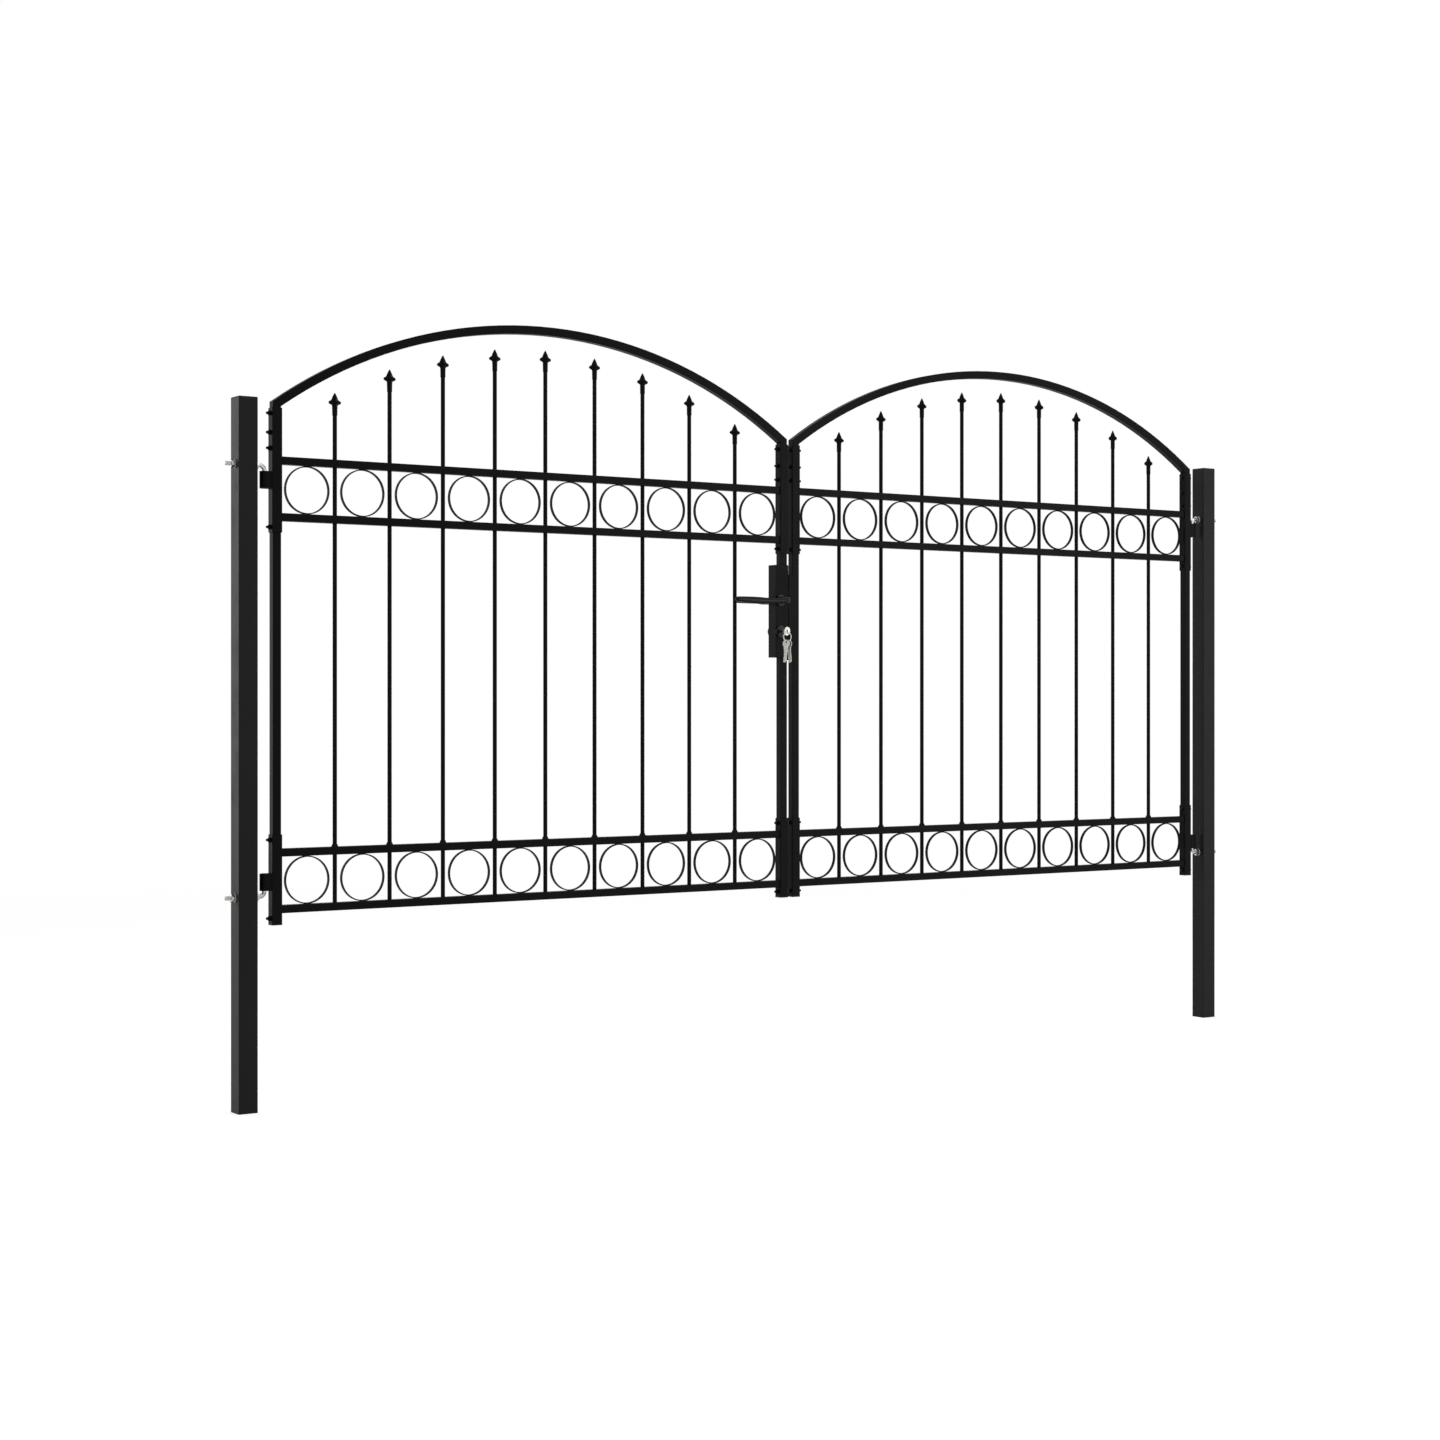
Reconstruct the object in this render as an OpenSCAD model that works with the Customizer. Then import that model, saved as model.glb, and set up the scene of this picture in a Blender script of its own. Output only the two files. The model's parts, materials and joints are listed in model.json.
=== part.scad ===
// Arched double gate: two hinged leaves of welded tube between two square posts.
// The leaf and hinge modules are drawn for the left side; the right side is their mirror image.
// Millimetres. X runs along the gate, Y from front to back, Z up from the post feet.

/* [Gate] */
// Overall width over the outer faces of the two posts
gate_w = 3000; // [2400:10:3600]
// Gap between the free edges of the two leaves
leaf_gap = 17.6; // [16:0.2:24]
// Gap between a post and its leaf
hinge_gap = 41; // [41:1:60]
// Height of a leaf from its foot to the shoulder where the arch starts
shoulder_h = 1167; // [1050:1:1300]
// Rise of the arch above the shoulders
arch_rise = 225; // [180:1:300]

/* [Posts] */
// Side of the square post tube
post_side = 45; // [40:1:60]
// Wall of the post tube
post_wall = 2; // [1.5:0.1:3]
// Outer corner radius of the post tube
post_corner = 1; // [1:0.5:4]
// Height of a post with its cap
post_h = 1583.5; // [1420:0.5:1800]
// Distance from the top of a post down to the leaves' shoulders
shoulder_drop = 5; // [0:0.5:20]
// Height of the joint between the two sections of a post
post_joint_z = 992; // [750:1:1150]
// Length of the connector tube inside that joint
connector_len = 240; // [120:5:400]
// Wall of the connector tube
connector_wall = 2; // [1.5:0.1:3]
// Play between the connector or the cap's plug and the post wall
post_play = 0.2; // [0.1:0.05:0.5]
// Thickness of the cap's top plate
cap_t = 5; // [3:0.5:10]
// Depth of the cap's plug
cap_plug = 16; // [8:1:30]

/* [Leaf frame] */
// Side of the square tube of the stiles and the arch
stile_side = 20; // [18:0.5:25]
// Wall of the stile and arch tube
stile_wall = 1.5; // [1:0.1:2]
// Outer corner radius of the stile and arch tube
stile_corner = 1.25; // [1.25:0.25:3]
// Wall of the sleeves over the stile ends
sleeve_wall = 1.8; // [1.2:0.1:2.2]
// Play between a stile and its sleeve
sleeve_play = 0.2; // [0.1:0.05:0.4]
// Distance from the shoulder down to the top of the upper sleeves
sleeve_drop = 14; // [13:0.5:20]
// Length of the upper sleeves
upper_sleeve_len = 278; // [270:1:300]
// Length of the lower sleeves
lower_sleeve_len = 199; // [190:1:230]
// Distance from the end of an arch leg to the stile under it
stile_break = 4; // [1:0.5:8]
// Thickness of the plug flange under each stile
plug_t = 3; // [2:0.5:4]
// Depth of that plug in the stile
plug_depth = 5; // [3:0.5:5.5]

/* [Rails and rings] */
// Side of the square rail tube
rail_side = 18; // [14:0.5:19]
// Wall of the rail tube
rail_wall = 1.2; // [1:0.1:1.8]
// Outer corner radius of the rail tube
rail_corner = 1; // [0.75:0.25:2]
// Height of the lower ring band's centre line above the leaf's foot
lower_band_h = 98; // [93:1:103]
// Distance from the shoulder down to the upper ring band's centre line
upper_band_drop = 194; // [187:1:201]
// Outer diameter of a ring
ring_d = 108; // [100:1:112]
// Radial thickness of the ring's strip
ring_t = 2.5; // [1.5:0.1:4]
// Width of the ring's strip from front to back
ring_w = 8; // [5:0.5:12]
// Play between a ring and the rails
ring_play = 0.1; // [0.05:0.05:0.3]

/* [Bars] */
// Number of upright bars in a leaf
bar_count = 9; // [5:2:9]
// Diameter of a bar
bar_d = 10; // [8:0.5:12]
// Distance between neighbouring bars
bar_pitch = 137; // [128:1:140]
// Play between a bar and the holes that it passes through
bar_play = 0.1; // [0.05:0.05:0.3]
// Diameter of the cone collars on the upper rail of the lower band
collar_d = 17; // [14:0.5:22]
// Height of the cone collars
collar_h = 6; // [3:0.5:10]
// Distance from the arch's crown down to the middle bar's tip
tip_gap = 55; // [40:1:70]
// How much lower the outermost tips stand than the middle one
tip_drop = 140; // [110:2:150]
// Length of a spear tip above its socket
tip_len = 31; // [26:0.5:36]
// Half width of a spear tip across its wings
tip_reach = 15.4; // [12:0.2:18]
// Thickness of a spear tip's wings
wing_t = 5; // [3:0.5:7]
// Length of a spear tip's socket
socket_len = 20; // [12:1:26]
// Wall of the socket
socket_wall = 0.8; // [0.6:0.1:2]

/* [Joint bolts] */
// Diameter of the bolts through the sleeves and stiles
joint_bolt_d = 6; // [5:0.5:6]
// Diameter of their round heads
joint_head_d = 12; // [10:0.5:12]
// Height of their round heads
joint_head_h = 4; // [2:0.5:4]
// Width of their nuts across flats
joint_nut_af = 10; // [9:0.5:10]
// Height of their nuts
joint_nut_h = 5; // [3:0.5:6]
// Length of a joint bolt beyond its nut
joint_tail = 5; // [2:0.5:6]
// Play between a joint bolt and its holes
joint_play = 0.2; // [0.1:0.05:0.4]
// Distance from a sleeve's end to the bolt near it
bolt_inset = 12; // [11:0.5:13]
// Distance between the two bolts in an arch leg
leg_bolt_pitch = 43; // [35:1:50]
// Distance from an arch leg's lower bolt to the leg's end
leg_tail = 16; // [12:1:20]
// Distance from the upper end of a stile to its first bolt
stile_bolt_inset = 15; // [12:0.5:16]

/* [Hinges] */
// Diameter of the bent hinge bolts
hinge_rod_d = 10; // [9:0.5:11]
// Radius of the bend on the rod's centre line
bend_r = 12.5; // [10:0.5:13]
// Radial play of the hinge pin in its block
pin_play = 0.08; // [0.04:0.01:0.1]
// Outer radius of the hinge block around the pin
block_r = 10.5; // [9.5:0.5:11]
// Height of a hinge block
block_h = 38.5; // [30:0.5:44]
// Distance from the shoulder down to the upper hinge block's middle
upper_hinge_drop = 175.5; // [165:0.5:200]
// Height of the lower hinge block's middle above the leaf's foot
lower_hinge_h = 96.5; // [90:0.5:103]
// Distance from the block to the level where the rod starts to bend
rod_standoff = 0.5; // [0.5:0.5:3]
// Length of the rod that stands out beyond the outer nut
rod_out = 13.5; // [5:0.5:40]
// Diameter of the hinge washers
washer_d = 20; // [18:0.5:28]
// Thickness of the hinge washers
washer_t = 2; // [1.5:0.5:3]
// Width of the hinge nuts across flats
hinge_nut_af = 17; // [16:0.5:18]
// Height of the hinge nuts
hinge_nut_h = 8; // [6:0.5:10]
// Play between the rod and the holes in post, nuts and washers
rod_play = 0.1; // [0.05:0.05:0.3]

/* [Lock] */
// Height of the lock case
lock_h = 235; // [225:0.5:250]
// Width of the lock case along the gate
lock_w = 40; // [38:1:50]
// Depth of the lock case from front to back
lock_d = 31; // [29:0.5:36]
// Wall of the lock case
lock_wall = 2; // [1.5:0.25:2.5]
// Distance from the upper sleeve down to the lock case
lock_gap = 29.5; // [20:0.5:60]
// Distance from the case's free edge to the spindle and the cylinder
backset = 25; // [24:0.5:26]
// Height of the spindle above the case's lower end
spindle_h = 145; // [140:1:152]
// Height of the cylinder above the case's lower end
cylinder_h = 66; // [57:1:68]
// Thickness of the faceplate
faceplate_t = 3; // [2:0.5:4]
// Side of the square spindle
spindle_side = 8; // [7:0.5:9]
// Distance from the gate's middle plane to the outer face of a lever
lever_front = 58; // [57:0.5:65]
// Length of the front lever from the spindle to its tip
lever_len = 162; // [120:1:165]
// Length of the back lever from the spindle to its tip
lever_back_len = 96; // [80:1:165]
// Greatest height of the front lever's arm
lever_belly = 17.6; // [15:0.2:20]
// Greatest height of the back lever's arm
lever_back_belly = 14; // [13:0.2:20]
// How far the front lever's arm lies below its axis
lever_sag = 3.4; // [0:0.1:5]
// Thickness of a lever's arm from front to back
lever_t = 12; // [9:0.5:14]
// Diameter of a lever's neck
neck_d = 18; // [15:0.5:20]
// Diameter of the roses round the necks
rose_d = 28; // [26:0.5:29]
// Thickness of the roses and of the cylinder's rings
rose_t = 4; // [2:0.5:5]
// Diameter of the rings round the lock cylinder
escutcheon_d = 30; // [28:0.5:30]
// Diameter of the lock cylinder's body
cylinder_d = 22; // [20:0.5:24]
// Distance from the middle plane to the lock cylinder's outer face
cylinder_reach = 21; // [20:0.5:24]
// Diameter of the cylinder's plug
plug_d = 13; // [11:0.5:14]
// Height of the latch bolt's head
latch_h = 18; // [14:0.5:20]
// Thickness of the latch bolt and the dead bolt
latch_t = 10; // [8:0.5:11]
// Length of the latch bolt's head beyond the faceplate
latch_out = 13.3; // [10:0.1:13.4]
// Height of the latch bolt's middle above the spindle
latch_above = 39; // [36:0.5:42]
// Height of the dead bolt
dead_bolt_h = 26; // [20:0.5:28]
// Height of the dead bolt's middle above the cylinder
dead_bolt_above = 36; // [34:0.5:38]
// Play of the bolts in the faceplate and of the lever necks in the roses
bolt_play = 0.3; // [0.2:0.05:0.5]
// Thickness of the strike channel's side walls
strike_wall = 3; // [2:0.5:3]
// Thickness of the strike channel's back
strike_back = 3.8; // [3:0.1:4]
// Width of the strike channel from front to back
strike_d = 26; // [24:0.5:28]
// Length of the strike channel
strike_len = 218; // [205:1:224]
// Distance from the strike channel's lips to the faceplate
strike_gap = 3.5; // [2:0.25:5]

/* [Keys] */
// Thickness of a key
key_t = 2.2; // [1.8:0.1:2.5]
// Diameter of the inserted key's bow
bow_d = 22; // [20:0.5:23]
// Diameter of the hole in the inserted key's bow
bow_hole_d = 8; // [7:0.25:8.5]
// Width of the inserted key's blade
blade_w = 7.6; // [6.5:0.1:8]
// Distance from the middle plane to the middle of the inserted key's bow
bow_reach = 46; // [44:0.5:47]
// Inner radius of the split ring
keyring_r = 10.8; // [10.8:0.1:13]
// Thickness of the split ring's wire
keyring_t = 1.5; // [1:0.1:1.6]
// Diameter of a spare key's bow
spare_bow_d = 20; // [18:0.5:21]
// Length of a spare key
spare_len = 58; // [50:1:65]
// Width of a spare key's blade
spare_blade_w = 9.5; // [7:0.5:10]
// Angle by which the spare keys fan out
spare_fan = 6; // [4:0.5:10]
// Angle by which the spare keys are twisted towards the front
spare_twist = 20; // [0:1:22]

/* [Hidden] */

$fn = 48;
arch_fn = 360;
inner_corner = 0.5;

coat = [0.09, 0.09, 0.09];
plastic = [0.05, 0.05, 0.05];
zinc = [0.74, 0.74, 0.71];
nickel = [0.82, 0.81, 0.77];

// Posts
post_x = -(gate_w - post_side) / 2;
post_inner_x = -gate_w / 2 + post_side;
post_tube_top = post_h - cap_t;

// Leaf outline, measured from the leaf's own middle line
leaf_w = (gate_w - leaf_gap) / 2 - post_side - hinge_gap;
leaf_cx = -(leaf_gap + leaf_w) / 2;
half_leaf = leaf_w / 2;
shoulder_z = post_h - shoulder_drop;
leaf_foot_z = shoulder_z - shoulder_h;
arch_r = (half_leaf * half_leaf + arch_rise * arch_rise) / (2 * arch_rise);
arch_cz = shoulder_z + arch_rise - arch_r;
arch_half_angle = asin(half_leaf / arch_r);
arch_inner_r = arch_r - stile_side;
mitre_in_z = arch_cz + sqrt(pow(arch_inner_r, 2) - pow(half_leaf - stile_side, 2));
mitre = atan2(shoulder_z - mitre_in_z, stile_side);
mitre_gap = 0.05;

// Sleeves, legs and stiles
plug_play = 0.1;
sleeve_side = stile_side + 2 * (sleeve_play + sleeve_wall);
sleeve_over = sleeve_play + sleeve_wall;
frame_z = leaf_foot_z + plug_t;
upper_sleeve_top = shoulder_z - sleeve_drop;
upper_sleeve_z = upper_sleeve_top - upper_sleeve_len;
top_bolt_z = upper_sleeve_top - bolt_inset;
leg_bolt_z = top_bolt_z - leg_bolt_pitch;
leg_end_z = leg_bolt_z - leg_tail;
stile_top_z = leg_end_z - stile_break;
stile_x = half_leaf - stile_side / 2;
joint_bolt_z = [
    top_bolt_z, leg_bolt_z, stile_top_z - stile_bolt_inset, upper_sleeve_z + bolt_inset,
    frame_z + lower_sleeve_len - bolt_inset, frame_z + bolt_inset
];

// Rails, rings and bars
rail_gap = ring_d + 2 * ring_play;
rail_half_len = half_leaf - stile_side - sleeve_over;
lower_band_z = leaf_foot_z + lower_band_h;
upper_band_z = shoulder_z - upper_band_drop;
rail_step = (rail_gap + rail_side) / 2;
bar_x = [for (i = [0:bar_count - 1]) (i - (bar_count - 1) / 2) * bar_pitch];
bay_x = [for (i = [0:bar_count]) (i - bar_count / 2) * bar_pitch];
bar_foot_z = lower_band_z - rail_step - rail_side / 2 + rail_wall;
tip_top_z = shoulder_z + arch_rise - tip_gap;
tip_arc_r = (pow(bar_x[0], 2) + pow(tip_drop, 2)) / (2 * tip_drop);
function tip_z(x) = tip_top_z - tip_arc_r + sqrt(pow(tip_arc_r, 2) - x * x);
socket_shelf = 2;

// Hinges
bend_room = 2;
pin_short = 1;
pin_x = post_inner_x + washer_t + hinge_nut_h + bend_room + bend_r;
block_z = [leaf_foot_z + lower_hinge_h, shoulder_z - upper_hinge_drop];
rod_z = [
    block_z[0] - block_h / 2 - rod_standoff - bend_r,
    block_z[1] + block_h / 2 + rod_standoff + bend_r
];
rod_end_x = -gate_w / 2 - washer_t - hinge_nut_h - rod_out;

// Lock
lock_x = -leaf_gap / 2 - backset;
lock_z = upper_sleeve_z - lock_gap - lock_h;
spindle_z = lock_z + spindle_h;
cylinder_z = lock_z + cylinder_h;
latch_z = spindle_z + latch_above;
dead_bolt_z = cylinder_z + dead_bolt_above;
case_front = lock_d / 2;
case_left_x = -leaf_gap / 2 - lock_w;
face_x = -leaf_gap / 2;
spindle_reach = lever_front - lever_t - 2;
spindle_hole = spindle_side + 0.1;
cylinder_play = 0.2;
plug_turn_play = 0.06;
dead_bolt_inset = 0.5;
dead_bolt_room = 8;
strike_over = 28;
follower_r = 10;
follower_t = 12;
lug_w = 5;
lug_reach = 20;
lug_angle = 25;
tab_t = 3;
tab_right_x = lock_x + 3.9;
tab_foot_z = spindle_z + 15;
tail_foot_z = spindle_z + lug_reach + 2.5;
cam_r = 14.5;
cam_w = 5;
cam_t = 8;
cam_room = 10;
plug_face = cylinder_reach + 2 * cylinder_play;
blade_end = 2;
strike_z = latch_z + strike_over - strike_len;

// Keys
slot_play = 0.1;
ring_outer_r = keyring_r + keyring_t;
ring_lift = 0.6;
ring_c_z = cylinder_z - bow_hole_d / 2 + ring_lift - keyring_r;
ring_mid_r = keyring_r + keyring_t / 2;
spare_at = 15;
spare_hole_d = 6;
spare_hang = 1.1;

module on_right() {
    mirror([1, 0, 0]) children();
}

module both_sides() {
    children();
    mirror([1, 0, 0]) children();
}

// Square outline with round corners
module rounded_square(side, r) {
    square([side - 2 * r, side], center = true);
    square([side, side - 2 * r], center = true);
    for (x = [-1, 1], y = [-1, 1]) translate([x, y] * (side / 2 - r)) circle(r);
}

module tube_section(side, wall, r) {
    difference() {
        rounded_square(side, r);
        square(side - 2 * wall, center = true);
    }
}

module square_tube(side, wall, r, len) {
    linear_extrude(len) tube_section(side, wall, r);
}

// Cylinder along X between two places
module rod_x(d, x0, x1) {
    translate([x0, 0, 0]) rotate([0, 90, 0]) cylinder(d = d, h = x1 - x0);
}

// Cylinder along Y between two places
module rod_y(d, y0, y1) {
    translate([0, y1, 0]) rotate([90, 0, 0]) cylinder(d = d, h = y1 - y0);
}

module hex_nut(af, bore, h) {
    difference() {
        cylinder(d = af / cos(30), h = h, $fn = 6);
        translate([0, 0, -1]) cylinder(d = bore, h = h + 2);
    }
}

// Posts

module post_section(z0, z1, hole_z) {
    color(coat) difference() {
        translate([post_x, 0, z0]) square_tube(post_side, post_wall, post_corner, z1 - z0);
        translate([0, 0, hole_z])
            rod_x(hinge_rod_d + 2 * rod_play, -gate_w / 2 - 1, post_inner_x + 1);
    }
}

module post_lower() {
    post_section(0, post_joint_z, rod_z[0]);
}

module post_upper() {
    post_section(post_joint_z, post_tube_top, rod_z[1]);
}

module post_connector() {
    side = post_side - 2 * (post_wall + post_play);
    color(coat) translate([post_x, 0, post_joint_z - connector_len / 2])
        square_tube(side, connector_wall, inner_corner, connector_len);
}

module post_cap() {
    side = post_side - 2 * (post_wall + post_play);
    edge = 1;
    color(plastic) translate([post_x, 0, post_tube_top]) {
        linear_extrude(cap_t - edge) rounded_square(post_side, post_corner);
        linear_extrude(cap_t) rounded_square(post_side - 2 * edge, post_corner - edge / 2);
        translate([0, 0, -cap_plug])
            linear_extrude(cap_plug) tube_section(side, post_wall, inner_corner);
    }
}

// Hinges

module bent_rod(z, way) {
    translate([0, 0, z]) {
        rod_x(hinge_rod_d, rod_end_x, pin_x - bend_r);
        translate([pin_x - bend_r, 0, way * bend_r]) rotate([90, 0, 0])
            rotate([0, 0, way > 0 ? -90 : 0])
            rotate_extrude(angle = 90) translate([bend_r, 0]) circle(d = hinge_rod_d);
    }
    leg_z = z + way * bend_r;
    leg_len = rod_standoff + block_h - pin_short;
    translate([pin_x, 0, way > 0 ? leg_z : leg_z - leg_len]) cylinder(d = hinge_rod_d, h = leg_len);
}

module hinge_bolts() {
    color(zinc) {
        bent_rod(rod_z[0], 1);
        bent_rod(rod_z[1], -1);
    }
}

module hinge_nuts() {
    bore = hinge_rod_d + 2 * rod_play;
    color(zinc) for (z = rod_z) {
        translate([-gate_w / 2 - washer_t, 0, z])
            rotate([0, -90, 0]) hex_nut(hinge_nut_af, bore, hinge_nut_h);
        translate([post_inner_x + washer_t, 0, z])
            rotate([0, 90, 0]) hex_nut(hinge_nut_af, bore, hinge_nut_h);
    }
}

module hinge_washers() {
    color(zinc) for (z = rod_z, x = [-gate_w / 2 - washer_t, post_inner_x])
        translate([0, 0, z]) difference() {
            rod_x(washer_d, x, x + washer_t);
            rod_x(hinge_rod_d + 2 * rod_play, x - 1, x + washer_t + 1);
        }
}

module hinge_blocks() {
    sleeve_x = -half_leaf - sleeve_over + leaf_cx;
    color(coat) for (z = block_z) translate([0, 0, z - block_h / 2]) difference() {
        union() {
            translate([pin_x, 0, 0]) cylinder(r = block_r, h = block_h);
            translate([pin_x, -block_r, 0]) cube([sleeve_x - pin_x, 2 * block_r, block_h]);
        }
        translate([pin_x, 0, -1]) cylinder(d = hinge_rod_d + 2 * pin_play, h = block_h + 2);
    }
}

// Leaf frame. Everything inside in_leaf() is measured from the leaf's middle line.

module in_leaf() {
    translate([leaf_cx, 0, 0]) children();
}

// The half space above (way 1) or below (way -1) the mitre between the arch and a leg
module mitre_block(way) {
    big = 120;
    translate([-half_leaf, 0, shoulder_z]) rotate([0, mitre, 0])
        translate([-big / 2, -big / 2, way > 0 ? -mitre_gap : -big]) cube(big);
}

module arch_leg() {
    difference() {
        translate([-stile_x, 0, leg_end_z])
            square_tube(stile_side, stile_wall, stile_corner, shoulder_z - leg_end_z + 1);
        mitre_block(1);
        joint_holes([top_bolt_z, leg_bolt_z]);
    }
}

module arch_bow() {
    overrun = 1.5;
    half = arch_half_angle + overrun;
    difference() {
        translate([0, 0, arch_cz]) rotate([90, 0, 0]) rotate([0, 0, 90 - half])
            rotate_extrude(angle = 2 * half, $fn = arch_fn)
            translate([arch_r - stile_side / 2, 0])
            tube_section(stile_side, stile_wall, stile_corner, $fn = 24);
        both_sides() mitre_block(-1);
    }
}

module arch() {
    color(coat) in_leaf() {
        arch_bow();
        both_sides() arch_leg();
    }
}

module joint_holes(heights) {
    reach = sleeve_side;
    for (z = heights) translate([-stile_x, 0, z])
        rod_x(joint_bolt_d + 2 * joint_play, -reach, reach);
}

module stile_tube(z0, z1) {
    difference() {
        translate([-stile_x, 0, z0]) square_tube(stile_side, stile_wall, stile_corner, z1 - z0);
        joint_holes(joint_bolt_z);
    }
}

module hinge_stile() {
    color(coat) in_leaf() stile_tube(frame_z, stile_top_z);
}

module plain_free_stile() {
    color(coat) in_leaf() mirror([1, 0, 0]) stile_tube(frame_z, stile_top_z);
}

// The lock leaf's free stile stops at the lock case and goes on above it
module lock_free_stile() {
    color(coat) in_leaf() mirror([1, 0, 0]) {
        stile_tube(frame_z, lock_z);
        stile_tube(lock_z + lock_h, stile_top_z);
    }
}

module stile_plugs() {
    side = stile_side - 2 * stile_wall - 2 * plug_play;
    color(plastic) in_leaf() both_sides() translate([-stile_x, 0, leaf_foot_z]) {
        linear_extrude(plug_t) rounded_square(sleeve_side, stile_corner);
        linear_extrude(plug_t + plug_depth) rounded_square(side, inner_corner);
    }
}

module sleeve(z, len) {
    inner = stile_side + 2 * sleeve_play;
    difference() {
        translate([-stile_x, 0, z]) linear_extrude(len) difference() {
            rounded_square(sleeve_side, stile_corner + 0.5);
            square(inner, center = true);
        }
        joint_holes(joint_bolt_z);
    }
}

module upper_sleeves() {
    color(coat) in_leaf() both_sides() sleeve(upper_sleeve_z, upper_sleeve_len);
}

module lower_sleeves() {
    color(coat) in_leaf() both_sides() sleeve(frame_z, lower_sleeve_len);
}

// Rails, rings and bars

module rail(z, through) {
    hole_z = through ? -rail_side : 0;
    hole_h = through ? 2 * rail_side : rail_side;
    translate([0, 0, z]) difference() {
        translate([-rail_half_len, 0, 0]) rotate([0, 90, 0])
            square_tube(rail_side, rail_wall, rail_corner, 2 * rail_half_len, $fn = 24);
        for (x = bar_x) translate([x, 0, hole_z]) cylinder(d = bar_d + 2 * bar_play, h = hole_h);
    }
}

module upper_rails() {
    color(coat) in_leaf() {
        rail(upper_band_z + rail_step, true);
        rail(upper_band_z - rail_step, true);
    }
}

module lower_rails() {
    color(coat) in_leaf() {
        rail(lower_band_z + rail_step, true);
        rail(lower_band_z - rail_step, false);
    }
}

module ring_band(z) {
    color(coat) in_leaf() for (x = bay_x) translate([x, 0, z]) difference() {
        rod_y(ring_d, -ring_w / 2, ring_w / 2, $fn = 72);
        rod_y(ring_d - 2 * ring_t, -ring_w, ring_w, $fn = 72);
    }
}

module upper_rings() {
    ring_band(upper_band_z);
}

module lower_rings() {
    ring_band(lower_band_z);
}

module bars() {
    color(coat) in_leaf() for (x = bar_x) translate([x, 0, bar_foot_z])
        cylinder(d = bar_d, h = tip_z(x) - tip_len - socket_shelf - bar_foot_z);
}

module collars() {
    color(coat) in_leaf() for (x = bar_x)
        translate([x, 0, lower_band_z + rail_step + rail_side / 2]) difference() {
            cylinder(d1 = collar_d, d2 = bar_d + 2 * bar_play + 1, h = collar_h);
            translate([0, 0, -1]) cylinder(d = bar_d + 2 * bar_play, h = collar_h + 2);
        }
}

// Outline of a pair of wings, from the socket's upper edge to the point
module wing_outline() {
    lobe_r = 3.8;
    lobe_x = tip_reach - lobe_r;
    lobe_z = 8.6;
    hip = 5.5;
    polygon([
        [0, 0], [hip, 0], [lobe_x - 0.6, lobe_z - lobe_r], [lobe_x, lobe_z + lobe_r],
        [hip + 0.6, tip_len * 0.52], [hip - 1.7, tip_len * 0.74], [0, tip_len - 1]
    ]);
    translate([lobe_x, lobe_z]) circle(lobe_r);
}

module spear_tip() {
    socket_r = bar_d / 2 + bar_play + socket_wall;
    hole_top = socket_len - socket_shelf + 0.2;
    difference() {
        union() {
            cylinder(r = socket_r, h = socket_len);
            translate([0, 0, socket_len]) {
                rotate_extrude() polygon([
                    [0, 0], [socket_r, 0], [6.6, 8], [6.3, tip_len * 0.5],
                    [3.5, tip_len * 0.77], [0, tip_len]
                ]);
                for (a = [0:90:270]) rotate([0, 0, a]) rotate([90, 0, 0])
                    linear_extrude(wing_t, center = true) wing_outline();
            }
        }
        translate([0, 0, -1]) cylinder(d = bar_d + 2 * bar_play, h = hole_top + 1);
    }
}

module spear_tips() {
    color(coat) in_leaf() for (x = bar_x)
        translate([x, 0, tip_z(x) - tip_len - socket_len]) spear_tip($fn = 32);
}

// Joint bolts. Their nuts are on the outer side of the hinge stile, and on the inner side
// of the free stile, where only the low round heads stand in the gap between the leaves.

module at_joints() {
    for (z = joint_bolt_z) {
        translate([-stile_x, 0, z]) mirror([1, 0, 0]) children();
        translate([stile_x, 0, z]) mirror([1, 0, 0]) children();
    }
}

module joint_bolts() {
    edge = sleeve_side / 2;
    dome = 1;
    color(coat) in_leaf() at_joints() {
        rod_x(joint_bolt_d, -edge, edge + joint_nut_h + joint_tail);
        rod_x(joint_head_d, -edge - joint_head_h + dome, -edge);
        rod_x(joint_head_d - 2 * dome, -edge - joint_head_h, -edge);
    }
}

module joint_nuts() {
    color(coat) in_leaf() at_joints() translate([sleeve_side / 2, 0, 0]) rotate([0, 90, 0])
        hex_nut(joint_nut_af, joint_bolt_d + 2 * bar_play, joint_nut_h);
}

// Lock. at_lock() puts its origin on the lock's axis line at the given height.

module at_lock(z) {
    translate([lock_x, 0, z]) children();
}

module bolt_slot(z, h) {
    translate([face_x - faceplate_t - 1, -latch_t / 2 - bolt_play, z - h / 2 - bolt_play])
        cube([faceplate_t + 2, latch_t + 2 * bolt_play, h + 2 * bolt_play]);
}

module lock_case() {
    spindle_hole_d = spindle_side * 1.5 + 1;
    color(coat) difference() {
        translate([case_left_x, -case_front, lock_z]) cube([lock_w, lock_d, lock_h]);
        translate([case_left_x + lock_wall, -case_front + lock_wall, lock_z + lock_wall])
            cube([lock_w, lock_d - 2 * lock_wall, lock_h - 2 * lock_wall]);
        at_lock(spindle_z) rod_y(spindle_hole_d, -lock_d, lock_d);
        at_lock(cylinder_z) rod_y(cylinder_d + 2 * cylinder_play, -lock_d, lock_d);
    }
}

module lock_faceplate() {
    inset = lock_wall + 0.1;
    color(zinc) difference() {
        translate([face_x - faceplate_t, -case_front + inset, lock_z + inset])
            cube([faceplate_t, lock_d - 2 * inset, lock_h - 2 * inset]);
        bolt_slot(latch_z, latch_h);
        bolt_slot(dead_bolt_z, dead_bolt_h);
    }
}

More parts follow.
